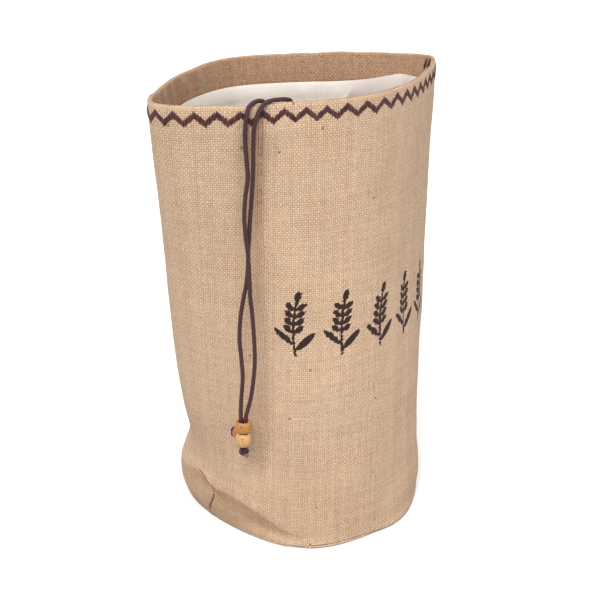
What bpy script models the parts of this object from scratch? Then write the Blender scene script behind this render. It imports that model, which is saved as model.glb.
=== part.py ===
"""Hessian bread bag with a turned-in hem, a cotton lining and a beaded drawcord.

The bag stands open on its round base. Units are metres, +Z is up and the origin
is the centre of the underside of the base. The seam of the wall runs up the
front left, and "along" is a distance along the cloth from that seam, positive
to the right as seen from the front.
"""

import math

import bmesh
import bpy
from mathutils import Vector

MM = 0.001
CURVE_STEPS = 24
SHARP_EDGE_ANGLE = math.radians(50)
WELD_DISTANCE = 0.000001
SCREW_MERGE_DISTANCE = 0.00001

# Cloth
HESSIAN_THICK = 1.6 * MM
LINING_THICK = 1.0 * MM
PIECE_GAP = 0.3 * MM

# Bag
BAG_HEIGHT = 376.8 * MM
BASE_RADIUS = 107.6 * MM
SEAM_ANGLE_AT_BASE = math.radians(-142)
COLUMNS = 78

# Hem at the mouth: the wall turns over a round fold and comes down inside, the
# lining's top edge between its two layers
HEM_LAYER_GAP = 2.0 * MM
FOLD_RADIUS = HESSIAN_THICK + 0.5 * HEM_LAYER_GAP
FOLD_STEPS = 4
LINING_TOP = 360.0 * MM
HEM_ROWS_MM = (
    # along, depth of the hem's edge below the rim
    (-352, 26),
    (-200, 26),
    (-100, 27),
    (-40, 24.8),
    (120, 24.8),
    (240, 23),
    (262, 20),
    (300, 23),
    (352, 26),
)

# Base panel with its edge turned up to meet the wall
BASE_EDGE_TOP = 3.0 * MM
BASE_EDGE_RADIUS = 2.6 * MM
BASE_EDGE_STEPS = 2
WALL_FOOT = BASE_EDGE_TOP + 2 * PIECE_GAP

# Outer face of the mouth seen from above, from the seam and then to the right
MOUTH_OUTLINE_MM = (
    # place, x, y
    ("seam", -88, -83),
    ("front left", -45, -95),
    ("front middle", -8, -99),
    ("front right", 38, -84),
    ("front far right", 80, -56),
    ("right corner front", 113, -27),
    ("right corner", 130, -4),
    ("right corner back", 122, 17),
    ("back right", 86, 47),
    ("back middle right", 30, 76),
    ("back middle left", -20, 84),
    ("back left", -67, 62),
    ("back far left", -113, 20),
    ("left corner back", -138, -8),
    ("left corner", -150, -34),
    ("left corner front", -140, -53),
    ("front far left", -111, -73),
)

# The wall from its foot to the rim: how far the round base has turned into the
# outline of the mouth, and how far the wall swells past that on each side
WALL_ROWS = (
    # height mm, mouth share, left, right, low left, front, front right mm
    (0.0, 0.00, 1.0, -3.0, -9.0, 3.6, 2.4),
    (8.0, 0.02, 3.2, -2.6, -7.0, 3.0, 2.0),
    (18.0, 0.04, 5.0, -1.6, -3.6, 1.8, 1.2),
    (30.0, 0.07, 3.4, -2.2, -1.0, 0.5, 0.4),
    (45.0, 0.11, -1.6, -4.0, 0.0, 0.0, 0.0),
    (60.0, 0.16, -6.4, -4.4, 0.0, 0.0, 0.0),
    (80.0, 0.22, -8.6, -5.2, 0.0, 0.0, 0.0),
    (110.0, 0.30, -4.2, -5.2, 0.0, 0.0, 0.0),
    (150.0, 0.40, -1.7, -4.8, 0.0, 0.0, 0.0),
    (200.0, 0.53, -0.6, -4.2, 0.0, 0.0, 0.0),
    (250.0, 0.66, -0.4, -3.8, 0.0, 0.0, 0.0),
    (300.0, 0.80, 0.6, -2.2, 0.0, 0.0, 0.0),
    (335.0, 0.89, 3.8, -0.4, 0.0, 0.0, 0.0),
    (360.0, 0.96, 4.9, 0.4, 0.0, 0.0, 0.0),
    (376.8, 1.00, 4.2, 0.3, 0.0, 0.0, 0.0),
)
SWELLS = (
    # column of WALL_ROWS, direction in degrees, how narrow
    (2, 146, 2),
    (3, -34, 2),
    (4, -166, 8),
    (5, -120, 16),
    (6, -74, 30),
)

# Upright creases and soft troughs in the wall
CREASES_MM = (
    # name, along, foot, full from, full to, head, depth, left width, right width
    ("seam valley", 0, 30, 110, 330, 360, 6.0, 34, 26),
    ("right end trough", 138, 20, 90, 250, 330, 2.0, 34, 30),
    ("back left trough", -170, 40, 120, 260, 345, 3.0, 45, 38),
    ("back right trough", 262, 15, 60, 180, 300, 2.4, 40, 44),
)

# The fold where the wall sinks over the base at the low left: the ridge
# overhangs a drawn-in band that widens again down to the base
BASE_FOLD_MM = (
    # along, ridge height, band drawn in, ridge proud
    (-185, 30, 0.0, 0.0),
    (-140, 32, 0.0, 0.0),
    (-104, 38, 2.0, 0.8),
    (-72, 47, 4.0, 1.6),
    (-50, 41, 4.8, 2.2),
    (-20, 37, 4.8, 2.2),
    (8, 24, 3.4, 1.6),
    (30, 14, 1.6, 0.8),
    (48, 16, 0.0, 0.0),
    (90, 30, 0.0, 0.0),
    (185, 30, 0.0, 0.0),
)
RIDGE_UNDERCUT = 3.5 * MM
RIDGE_SHOULDER = 16.0 * MM
BAND_MIDDLE_SHARE = 0.45
SHOULDER_MIDDLE_SHARE = 0.35

# Heights of the wall's upper rows of faces, above the fold
UPPER_ROWS_MM = (92, 130, 172, 215, 260, 305, 335, 352, 360)

# Lining
LINING_CLEARANCE = HESSIAN_THICK + 0.5 * (HEM_LAYER_GAP - LINING_THICK)
LINING_FLOOR = HESSIAN_THICK + PIECE_GAP
LINING_ROWS_MM = (
    # height, drawn in from the wall's inner face
    (360.0, 0.0),
    (352.0, 0.0),
    (346.0, 0.6),
    (334.0, 2.0),
    (290.0, 2.4),
    (190.0, 3.0),
    (95.0, 4.0),
    (56.0, 8.0),
    (26.0, 9.0),
    (9.0, 11.0),
)
LINING_FLOOR_INSET = 17.0 * MM

# Zigzag stitching below the rim
ZIGZAG_TOP = 5.4 * MM
ZIGZAG_DROP = 8.8 * MM
ZIGZAG_WIDTH = 2.6 * MM
ZIGZAG_THICK = 0.7 * MM
ZIGZAG_GAP = 0.45 * MM

# Drawcord: two strands come out of the inside of the hem, pass over the rim
# and hang in front of the wall, where they cross once
CORD_DIAMETER = 3.2 * MM
CORD_STEP = 2.5 * CORD_DIAMETER
CORD_BEVEL_RESOLUTION = 2
LEFT_STRAND_MM = (
    (-83.2, -77.5, 366.5),
    (-82.4, -75.2, 366.8),
    (-82.0, -73.4, 368.3),
    (-82.3, -72.4, 371.6),
    (-83.5, -73.2, 375.2),
    (-85.6, -75.4, 378.0),
    (-88.6, -77.2, 380.0),
    (-91.9, -78.5, 380.9),
    (-95.2, -79.3, 380.4),
    (-98.2, -79.9, 378.3),
    (-100.6, -80.1, 374.8),
    (-102.6, -80.9, 370.2),
    (-103.6, -80.8, 364.0),
    (-103.6, -79.9, 351.4),
    (-103.2, -80.5, 338.5),
    (-102.6, -80.8, 325.8),
    (-104.3, -80.0, 312.6),
    (-105.7, -80.0, 298.7),
    (-105.7, -81.2, 283.1),
    (-104.7, -82.5, 267.8),
    (-104.3, -82.8, 253.0),
    (-103.6, -82.6, 235.0),
    (-102.3, -82.8, 220.8),
    (-101.5, -83.3, 201.6),
    (-101.3, -83.6, 182.8),
    (-102.6, -83.1, 166.1),
    (-104.8, -81.7, 148.9),
    (-107.0, -79.9, 138.1),
    (-108.2, -79.3, 130.2),
    (-108.3, -79.3, 120.0),
    (-108.3, -79.3, 107.4),
)
RIGHT_STRAND_MM = (
    (-64.4, -83.5, 366.7),
    (-63.8, -81.2, 367.0),
    (-63.4, -79.5, 368.6),
    (-63.9, -78.8, 372.2),
    (-65.8, -79.9, 376.0),
    (-69.0, -81.2, 378.7),
    (-73.2, -82.1, 380.2),
    (-77.8, -82.4, 380.9),
    (-82.4, -82.6, 381.0),
    (-86.4, -83.0, 380.4),
    (-89.8, -83.7, 378.6),
    (-92.9, -84.5, 375.0),
    (-96.3, -84.4, 369.7),
    (-98.3, -83.5, 361.3),
    (-99.0, -83.1, 348.3),
    (-99.4, -83.1, 335.6),
    (-99.9, -82.5, 319.2),
    (-100.6, -81.1, 304.1),
    (-101.4, -79.9, 288.1),
    (-102.3, -79.2, 272.7),
    (-103.0, -79.0, 258.7),
    (-104.2, -78.7, 245.4),
    (-106.5, -77.8, 233.6),
    (-109.2, -77.1, 217.8),
    (-110.4, -77.0, 199.0),
    (-109.6, -77.8, 183.1),
    (-109.2, -78.2, 167.7),
    (-110.6, -77.4, 148.1),
    (-111.0, -77.2, 138.1),
    (-111.15, -77.3, 130.2),
    (-111.15, -77.3, 120.45),
)

# Beads: short wooden barrels with a bore that takes both strands
BEAD_RADIUS = 6.55 * MM
BEAD_END_RADIUS = 4.7 * MM
BEAD_BORE_RADIUS = 3.75 * MM
BEAD_HALF_LENGTH = 4.6 * MM
BEAD_EDGE = 0.5 * MM
BEAD_ROUNDNESS = 2.4
BEAD_SIDE_STEPS = 6
BEAD_SEGMENTS = 18
BEAD_AXIS_XY = (-109.7 * MM, -78.3 * MM)
TOP_BEAD_HEIGHT = 125.1 * MM
LOWER_BEAD_HEIGHT = 112.0 * MM

# The third bead hangs behind the other two, on an end of the right strand that
# comes out between them and points back towards the wall
SIDE_BEAD_CENTRE = Vector((-105.5, -66.3, 113.8)) * MM
SIDE_AXIS = Vector((-0.03, 0.94, -0.34)).normalized()
SIDE_STEM_MM = (
    (-112.1, -78.7, 118.55),
    (-111.0, -77.1, 118.6),
    (-109.2, -74.5, 118.8),
    (-107.5, -72.2, 118.2),
    (-106.3, -70.4, 116.7),
    (-105.6, -68.7, 115.2),
    (-105.5, -66.2, 113.9),
    (-105.6, -62.7, 112.5),
    (-105.7, -59.0, 111.1),
)

# Overhand knots that stop the beads
KNOT_RADIUS = 4.2 * MM
KNOT_HALF_LENGTH = 3.9 * MM
SIDE_KNOT_HALF_LENGTH = 3.4 * MM
KNOT_LOBE = 0.45 * MM
KNOT_LOBES = 3
KNOT_TWIST = 2.4
KNOT_SEGMENTS = 18
KNOT_RINGS = 9

FINISHES = {
    # finish: (red, green, blue), roughness
    "hessian": ((0.62, 0.44, 0.29), 0.95),
    "cotton": ((0.78, 0.74, 0.66), 0.85),
    "stitch": ((0.075, 0.035, 0.035), 0.6),
    "cord": ((0.085, 0.045, 0.05), 0.65),
    "wood": ((0.55, 0.27, 0.10), 0.45),
    "pale_wood": ((0.70, 0.42, 0.17), 0.45),
}


def clear_scene():
    for item in list(bpy.data.objects):
        bpy.data.objects.remove(item, do_unlink=True)


def smooth_step(value):
    value = min(max(value, 0.0), 1.0)
    return value * value * (3.0 - 2.0 * value)


def from_rows(rows, at, column):
    """A column of a table at a place given in its first column, joined smoothly."""
    keys = [row[0] for row in rows]
    values = [row[column] for row in rows]
    if at <= keys[0]:
        return values[0]
    if at >= keys[-1]:
        return values[-1]
    low = max(index for index, key in enumerate(keys) if key <= at)
    span = keys[low + 1] - keys[low]

    def slope(index):
        if index == 0 or index == len(keys) - 1:
            return 0.0
        return (values[index + 1] - values[index - 1]) / (keys[index + 1] - keys[index - 1])

    share = (at - keys[low]) / span
    square = share * share
    cube = square * share
    return (
        (2 * cube - 3 * square + 1) * values[low]
        + (cube - 2 * square + share) * span * slope(low)
        + (3 * square - 2 * cube) * values[low + 1]
        + (cube - square) * span * slope(low + 1)
    )


def spline_point(p0, p1, p2, p3, share):
    """A point between p1 and p2 on a smooth curve through four points."""
    t0 = 0.0
    t1 = t0 + math.sqrt((p1 - p0).length)
    t2 = t1 + math.sqrt((p2 - p1).length)
    t3 = t2 + math.sqrt((p3 - p2).length)
    t = t1 + share * (t2 - t1)
    a1 = p0 * ((t1 - t) / (t1 - t0)) + p1 * ((t - t0) / (t1 - t0))
    a2 = p1 * ((t2 - t) / (t2 - t1)) + p2 * ((t - t1) / (t2 - t1))
    a3 = p2 * ((t3 - t) / (t3 - t2)) + p3 * ((t - t2) / (t3 - t2))
    b1 = a1 * ((t2 - t) / (t2 - t0)) + a2 * ((t - t0) / (t2 - t0))
    b2 = a2 * ((t3 - t) / (t3 - t1)) + a3 * ((t - t1) / (t3 - t1))
    return b1 * ((t2 - t) / (t2 - t1)) + b2 * ((t - t1) / (t2 - t1))


def smooth_curve(points, closed):
    """Close points on the smooth curve through the given ones."""
    count = len(points)
    if closed:
        around = [points[-1], *points, points[0], points[1]]
        spans = count
    else:
        first = points[0] * 2 - points[1]
        last = points[-1] * 2 - points[-2]
        around = [first, *points, last]
        spans = count - 1
    curve = []
    for span in range(spans):
        for step in range(CURVE_STEPS):
            curve.append(spline_point(*around[span:span + 4], step / CURVE_STEPS))
    curve.append(points[0].copy() if closed else points[-1].copy())
    return curve


def spaced(curve, count):
    """Points at even distances along a curve, both ends included."""
    lengths = [0.0]
    for before, after in zip(curve, curve[1:]):
        lengths.append(lengths[-1] + (after - before).length)
    result = []
    index = 0
    for step in range(count + 1):
        wanted = lengths[-1] * step / count
        while index < len(curve) - 2 and lengths[index + 1] < wanted:
            index += 1
        part = (wanted - lengths[index]) / (lengths[index + 1] - lengths[index])
        result.append(curve[index].lerp(curve[index + 1], min(max(part, 0.0), 1.0)))
    return result


def loop_length(loop):
    return sum((loop[i] - loop[i - 1]).length for i in range(len(loop)))


def mouth_loop():
    points = [Vector((x, y)) * MM for _, x, y in MOUTH_OUTLINE_MM]
    return spaced(smooth_curve(points, closed=True), COLUMNS)[:-1]


def base_loop():
    turn = 2 * math.pi / COLUMNS
    angles = [SEAM_ANGLE_AT_BASE + turn * i for i in range(COLUMNS)]
    return [Vector((math.cos(a), math.sin(a))) * BASE_RADIUS for a in angles]


def along_of(column, girth):
    """Distance along the cloth from the seam, positive to the right."""
    share = column / COLUMNS
    if share > 0.5:
        share -= 1.0
    return share * girth


def crease_depth(along_mm, height_mm, girth_mm):
    depth = 0.0
    for _, at, foot, full_from, full_to, head, deep, left, right in CREASES_MM:
        across = along_mm - at
        across -= girth_mm * round(across / girth_mm)
        width = right if across > 0 else left
        reach = 1.0 - abs(across) / width
        if reach <= 0.0:
            continue
        rise = smooth_step((height_mm - foot) / (full_from - foot))
        fade = smooth_step((head - height_mm) / (head - full_to))
        depth += deep * reach * reach * rise * fade
    return depth


class Wall:
    """The outer face of the standing wall, at any column and height."""

    def __init__(self):
        self.mouth = mouth_loop()
        self.base = base_loop()
        self.mouth_girth = loop_length(self.mouth)
        self.base_girth = loop_length(self.base)
        self.loops = {}

    def loop(self, height, creased=True):
        key = (round(height / MM, 4), creased)
        if key not in self.loops:
            self.loops[key] = self.make_loop(height, creased)
        return self.loops[key]

    def make_loop(self, height, creased):
        height_mm = height / MM
        share = from_rows(WALL_ROWS, height_mm, 1)
        loop = [b.lerp(m, share) for b, m in zip(self.base, self.mouth)]
        girth = self.base_girth + (self.mouth_girth - self.base_girth) * share
        middle = sum(loop, Vector((0.0, 0.0))) / COLUMNS
        grow = girth / loop_length(loop)
        loop = [middle + (point - middle) * grow for point in loop]
        swollen = []
        for point in loop:
            ray = (point - middle).normalized()
            angle = math.atan2(ray.y, ray.x)
            out = 0.0
            for column, direction, narrow in SWELLS:
                facing = max(math.cos(angle - math.radians(direction)), 0.0)
                out += from_rows(WALL_ROWS, height_mm, column) * facing ** narrow
            swollen.append(point + ray * out * MM)
        if not creased:
            return swollen
        result = []
        for i, point in enumerate(swollen):
            along_mm = along_of(i, girth) / MM
            depth = crease_depth(along_mm, height_mm, girth / MM) * MM
            result.append(point - self.outward(swollen, i) * depth)
        return result

    @staticmethod
    def outward(loop, i):
        tangent = (loop[(i + 1) % len(loop)] - loop[i - 1]).normalized()
        return Vector((tangent.y, -tangent.x))

    def fold(self, i, column):
        return from_rows(BASE_FOLD_MM, along_of(i, self.base_girth) / MM, column) * MM

    def fold_offset(self, i, height):
        """How far the low fold moves the wall out, or in where negative."""
        ridge = self.fold(i, 1)
        drawn_in = self.fold(i, 2)
        proud = self.fold(i, 3)
        deepest = ridge - RIDGE_UNDERCUT
        if height <= deepest:
            return -drawn_in * smooth_step((height - WALL_FOOT) / (deepest - WALL_FOOT))
        if height <= ridge:
            return -drawn_in + (drawn_in + proud) * (height - deepest) / RIDGE_UNDERCUT
        return proud * (1.0 - smooth_step((height - ridge) / RIDGE_SHOULDER))

    def point(self, i, height, inward=0.0):
        i %= COLUMNS
        loop = self.loop(height)
        out = self.fold_offset(i, height) - inward
        place = loop[i] + self.outward(loop, i) * out
        return Vector((place.x, place.y, height))


def material(name, finish):
    colour, roughness = FINISHES[finish]
    made = bpy.data.materials.new(name)
    made.use_nodes = True
    made.diffuse_color = (*colour, 1.0)
    shader = made.node_tree.nodes["Principled BSDF"]
    shader.inputs["Base Color"].default_value = (*colour, 1.0)
    shader.inputs["Roughness"].default_value = roughness
    shader.inputs["Metallic"].default_value = 0.0
    return made


def new_object(name, data, finish, parts):
    item = bpy.data.objects.new(name, data)
    parts.objects.link(item)
    data.materials.append(material(name, finish))
    return item


def mesh_from_bmesh(name, shape):
    bmesh.ops.recalc_face_normals(shape, faces=shape.faces)
    data = bpy.data.meshes.new(name)
    shape.to_mesh(data)
    shape.free()
    data.shade_smooth()
    data.set_sharp_from_angle(angle=SHARP_EDGE_ANGLE)
    return data


def loft(rows):
    """An open surface through closed rows of points, from the lowest row up."""
    shape = bmesh.new()
    grid = [[shape.verts.new(point) for point in row] for row in rows]
    for below, above in zip(grid, grid[1:]):
        for i in range(len(below)):
            j = (i + 1) % len(below)
            shape.faces.new((below[i], below[j], above[j], above[i]))
    return shape, grid


def outward_surface(shape):
    """Makes the faces of an open, bowl-like surface point away from its middle."""
    bmesh.ops.recalc_face_normals(shape, faces=shape.faces)
    shape.faces.ensure_lookup_table()
    face = shape.faces[0]
    centre = face.calc_center_median()
    if face.normal.dot(Vector((centre.x, centre.y, 0.0))) < 0:
        bmesh.ops.reverse_faces(shape, faces=shape.faces)


def sheet_object(name, shape, finish, thickness, parts):
    """A sheet of cloth whose outer face is the given open surface."""
    outward_surface(shape)
    data = bpy.data.meshes.new(name)
    shape.to_mesh(data)
    shape.free()
    data.shade_smooth()
    item = new_object(name, data, finish, parts)
    solid = item.modifiers.new("Cloth thickness", "SOLIDIFY")
    solid.thickness = thickness
    solid.offset = -1.0
    solid.use_even_offset = True
    return item


def hem_rows(wall):
    """The round fold of the rim, then the inside of the hem down to its edge."""
    rows = []
    fold_centre = BAG_HEIGHT - FOLD_RADIUS
    for step in range(FOLD_STEPS + 1):
        angle = math.pi * step / FOLD_STEPS
        inward = FOLD_RADIUS * (1.0 - math.cos(angle))
        rise = FOLD_RADIUS * math.sin(angle)
        row = []
        for i in range(COLUMNS):
            place = wall.point(i, fold_centre, inward)
            row.append(Vector((place.x, place.y, fold_centre + rise)))
        rows.append(row)
    rows.append([wall.point(i, LINING_TOP, 2 * FOLD_RADIUS) for i in range(COLUMNS)])
    edge = []
    for i in range(COLUMNS):
        along_mm = along_of(i, wall.mouth_girth) / MM
        height = BAG_HEIGHT - from_rows(HEM_ROWS_MM, along_mm, 1) * MM
        edge.append(wall.point(i, height, 2 * FOLD_RADIUS))
    rows.append(edge)
    return rows


def wall_rows(wall):
    """Heights of each column's points, which follow the ridge of the low fold."""
    rows = []
    for i in range(COLUMNS):
        ridge = wall.fold(i, 1)
        deepest = ridge - RIDGE_UNDERCUT
        column = [
            WALL_FOOT,
            WALL_FOOT + BAND_MIDDLE_SHARE * (deepest - WALL_FOOT),
            deepest,
            ridge,
            ridge + SHOULDER_MIDDLE_SHARE * RIDGE_SHOULDER,
            ridge + RIDGE_SHOULDER,
        ]
        column += [height * MM for height in UPPER_ROWS_MM]
        rows.append(column)
    return [list(row) for row in zip(*rows)]


def make_hessian_body(wall, parts):
    rows = []
    for heights in wall_rows(wall):
        rows.append([wall.point(i, heights[i]) for i in range(COLUMNS)])
    rows += hem_rows(wall)
    shape, _ = loft(rows)
    return sheet_object("hessian_body", shape, "hessian", HESSIAN_THICK, parts)


def inset_row(wall, outline, inset, height):
    """A level row of points a little inside an outline."""
    row = []
    for i, point in enumerate(outline):
        place = point - wall.outward(outline, i) * inset
        row.append(Vector((place.x, place.y, height)))
    return row


def make_base(wall, parts):
    """The round panel: flat underneath, its edge turned up under the wall."""
    outline = wall.loop(WALL_FOOT)
    rows = []
    for step in range(BASE_EDGE_STEPS + 1):
        angle = 0.5 * math.pi * step / BASE_EDGE_STEPS
        inset = BASE_EDGE_RADIUS * (1.0 - math.sin(angle))
        height = BASE_EDGE_RADIUS * (1.0 - math.cos(angle))
        rows.append(inset_row(wall, outline, inset, height))
    rows.append(inset_row(wall, outline, 0.0, BASE_EDGE_TOP))
    shape, grid = loft(rows)
    shape.faces.new(list(reversed(grid[0])))
    return sheet_object("base", shape, "hessian", HESSIAN_THICK, parts)


def make_lining(wall, parts):
    """The cotton bag inside, its top edge held under the hem."""
    rows = []
    floor_outline = wall.loop(WALL_FOOT, creased=False)
    rows.append(inset_row(wall, floor_outline, LINING_FLOOR_INSET, LINING_FLOOR))
    for height_mm, drawn_in in reversed(LINING_ROWS_MM):
        outline = wall.loop(height_mm * MM)
        inset = LINING_CLEARANCE + drawn_in * MM
        rows.append(inset_row(wall, outline, inset, height_mm * MM))
    shape, grid = loft(rows)
    shape.faces.new(list(reversed(grid[0])))
    return sheet_object("lining", shape, "cotton", LINING_THICK, parts)


def make_zigzag(wall, parts):
    """A closed zigzag band, one corner on each column of the wall."""
    shape = bmesh.new()
    half = 0.5 * ZIGZAG_WIDTH * math.sqrt(2.0)
    rings = []
    for i in range(COLUMNS):
        middle = BAG_HEIGHT - ZIGZAG_TOP - (ZIGZAG_DROP if i % 2 else 0.0)
        ring = []
        for height, out in (
            (middle - half, ZIGZAG_GAP),
            (middle - half, ZIGZAG_GAP + ZIGZAG_THICK),
            (middle + half, ZIGZAG_GAP + ZIGZAG_THICK),
            (middle + half, ZIGZAG_GAP),
        ):
            ring.append(shape.verts.new(wall.point(i, height, -out)))
        rings.append(ring)
    for i, ring in enumerate(rings):
        after = rings[(i + 1) % COLUMNS]
        for k in range(4):
            m = (k + 1) % 4
            shape.faces.new((ring[k], ring[m], after[m], after[k]))
    data = mesh_from_bmesh("zigzag_stitch", shape)
    return new_object("zigzag_stitch", data, "stitch", parts)


def make_cord(name, route_mm, parts):
    """A tube along the smooth curve through a strand's points."""
    route = [Vector(point) * MM for point in route_mm]
    curve = smooth_curve(route, closed=False)
    length = sum((b - a).length for a, b in zip(curve, curve[1:]))
    points = spaced(curve, round(length / CORD_STEP))
    data = bpy.data.curves.new(name, "CURVE")
    data.dimensions = "3D"
    spline = data.splines.new("POLY")
    spline.points.add(len(points) - 1)
    for target, point in zip(spline.points, points):
        target.co = (*point, 1.0)
    data.bevel_depth = 0.5 * CORD_DIAMETER
    data.bevel_resolution = CORD_BEVEL_RESOLUTION
    data.use_fill_caps = True
    return new_object(name, data, "cord", parts)


def bead_profile():
    """Half outline of a barrel, down its outer side and up its bore."""
    half = BEAD_HALF_LENGTH
    side_half = half - BEAD_EDGE
    side = []
    for step in range(BEAD_SIDE_STEPS + 1):
        share = 1.0 - 2.0 * step / BEAD_SIDE_STEPS
        bulge = 1.0 - abs(share) ** BEAD_ROUNDNESS
        radius = BEAD_END_RADIUS + (BEAD_RADIUS - BEAD_END_RADIUS) * bulge
        side.append((radius, share * side_half))
    rim = 0.5 * (BEAD_BORE_RADIUS + BEAD_END_RADIUS)
    bore = BEAD_BORE_RADIUS
    return [(rim, half), *side, (rim, -half), (bore, -side_half), (bore, side_half)]


def make_bead(name, centre, axis, finish, parts):
    """A turned bead: its profile spun round with a Screw modifier."""
    profile = bead_profile()
    data = bpy.data.meshes.new(name)
    points = [(radius, 0.0, height) for radius, height in profile]
    edges = [(i, (i + 1) % len(points)) for i in range(len(points))]
    data.from_pydata(points, edges, [])
    item = new_object(name, data, finish, parts)
    screw = item.modifiers.new("Turned", "SCREW")
    screw.axis = "Z"
    screw.steps = BEAD_SEGMENTS
    screw.render_steps = BEAD_SEGMENTS
    screw.use_merge_vertices = True
    screw.merge_threshold = SCREW_MERGE_DISTANCE
    screw.use_smooth_shade = True
    item.location = centre
    item.rotation_euler = Vector((0.0, 0.0, 1.0)).rotation_difference(axis).to_euler()
    return item


def knot_shape(centre, axis, half_length):
    """A tight overhand knot: a ball whose turns of cord lie round it slantwise."""
    shape = bmesh.new()
    bmesh.ops.create_uvsphere(
        shape, u_segments=KNOT_SEGMENTS, v_segments=KNOT_RINGS, radius=1.0
    )
    turn = Vector((0.0, 0.0, 1.0)).rotation_difference(axis)
    for vert in shape.verts:
        around = math.atan2(vert.co.y, vert.co.x)
        lobe = math.cos(KNOT_LOBES * around + KNOT_TWIST * vert.co.z)
        flat = math.hypot(vert.co.x, vert.co.y)
        radius = KNOT_RADIUS + KNOT_LOBE * lobe * flat
        place = Vector((vert.co.x * radius, vert.co.y * radius, vert.co.z * half_length))
        vert.co = centre + turn @ place
    return shape


def make_knot(name, centre, axis, half_length, parts):
    data = mesh_from_bmesh(name, knot_shape(centre, axis, half_length))
    return new_object(name, data, "cord", parts)


def mesh_copy(item, name, parts, finish):
    """A plain mesh object in the place of a curve object, its caps welded."""
    bpy.context.view_layer.update()
    evaluated = item.evaluated_get(bpy.context.evaluated_depsgraph_get())
    data = bpy.data.meshes.new_from_object(evaluated)
    shape = bmesh.new()
    shape.from_mesh(data)
    bmesh.ops.remove_doubles(shape, verts=shape.verts, dist=WELD_DISTANCE)
    shape.to_mesh(data)
    shape.free()
    data.name = name
    data.materials.clear()
    made = new_object(name, data, finish, parts)
    made.matrix_world = item.matrix_world
    bpy.data.objects.remove(item, do_unlink=True)
    return made


def make_side_end(parts, cutters):
    """The bead behind the other two, and its knot with the cord through the bore."""
    make_bead("bead_side", SIDE_BEAD_CENTRE, SIDE_AXIS, "wood", parts)
    reach = BEAD_HALF_LENGTH + PIECE_GAP + SIDE_KNOT_HALF_LENGTH
    knot_centre = SIDE_BEAD_CENTRE + SIDE_AXIS * reach
    knot = make_knot("knot_side", knot_centre, SIDE_AXIS, SIDE_KNOT_HALF_LENGTH, parts)
    tube = make_cord("side_stem_tube", SIDE_STEM_MM, parts)
    stem = mesh_copy(tube, "side_stem", cutters, "cord")
    stem.hide_render = True
    stem.display_type = "WIRE"
    union = knot.modifiers.new("Cord through the bead", "BOOLEAN")
    union.operation = "UNION"
    union.solver = "EXACT"
    union.object = stem


def main():
    clear_scene()
    parts = bpy.data.collections.new("hessian_bread_bag")
    cutters = bpy.data.collections.new("cutters")
    bpy.context.scene.collection.children.link(parts)
    bpy.context.scene.collection.children.link(cutters)
    wall = Wall()
    make_hessian_body(wall, parts)
    make_base(wall, parts)
    make_lining(wall, parts)
    make_zigzag(wall, parts)
    make_cord("drawcord_left", LEFT_STRAND_MM, parts)
    make_cord("drawcord_right", RIGHT_STRAND_MM, parts)
    upright = Vector((0.0, 0.0, 1.0))
    top_centre = Vector((*BEAD_AXIS_XY, TOP_BEAD_HEIGHT))
    lower_centre = Vector((*BEAD_AXIS_XY, LOWER_BEAD_HEIGHT))
    make_bead("bead_top", top_centre, upright, "wood", parts)
    make_bead("bead_lower", lower_centre, upright, "pale_wood", parts)
    knot_drop = BEAD_HALF_LENGTH + PIECE_GAP + KNOT_HALF_LENGTH
    knot_centre = lower_centre - Vector((0.0, 0.0, knot_drop))
    make_knot("knot_lower", knot_centre, upright, KNOT_HALF_LENGTH, parts)
    make_side_end(parts, cutters)


main()
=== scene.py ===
# Hessian bread bag: cloth, lining, zigzag sewing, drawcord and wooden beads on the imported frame.
import math

import bmesh
import bpy
import numpy as np
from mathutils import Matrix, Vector, noise


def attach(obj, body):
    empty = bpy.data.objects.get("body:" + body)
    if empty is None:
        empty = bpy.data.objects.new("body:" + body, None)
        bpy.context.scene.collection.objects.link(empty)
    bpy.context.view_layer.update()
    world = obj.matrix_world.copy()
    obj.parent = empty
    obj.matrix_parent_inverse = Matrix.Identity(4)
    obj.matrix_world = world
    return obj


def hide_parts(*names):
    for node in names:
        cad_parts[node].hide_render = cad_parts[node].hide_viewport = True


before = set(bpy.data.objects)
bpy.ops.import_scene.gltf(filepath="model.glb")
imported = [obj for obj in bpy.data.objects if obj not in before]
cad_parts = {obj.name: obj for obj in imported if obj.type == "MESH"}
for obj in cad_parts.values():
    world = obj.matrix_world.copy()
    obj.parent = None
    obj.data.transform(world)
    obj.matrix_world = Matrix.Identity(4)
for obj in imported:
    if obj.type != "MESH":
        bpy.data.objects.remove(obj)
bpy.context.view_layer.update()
print("frame loaded")

mm = 0.001
fullTurn = 2 * math.pi

# Camera
camera = {
    "place": (-0.4759, -0.7002, 0.541),
    "forward": (0.5141, 0.7622, -0.3933),
    "focalPixels": 1060.0,
    "imagePixels": 600.0,
    "sensor": 36.0,
    "clipStart": 0.01,
}


def placed(name, data):
    item = bpy.data.objects.new(name, data)
    bpy.context.scene.collection.objects.link(item)
    return item


def aimed(name, data, place, direction):
    item = placed(name, data)
    item.location = place
    item.rotation_mode = "QUATERNION"
    item.rotation_quaternion = Vector(direction).to_track_quat("-Z", "Y")
    return item


def makeCamera():
    data = bpy.data.cameras.new("camera")
    data.sensor_width = camera["sensor"]
    data.lens = camera["sensor"] * camera["focalPixels"] / camera["imagePixels"]
    data.clip_start = camera["clipStart"]
    bpy.context.scene.camera = aimed("camera", data, camera["place"], camera["forward"])


makeCamera()
print("camera set")


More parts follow.
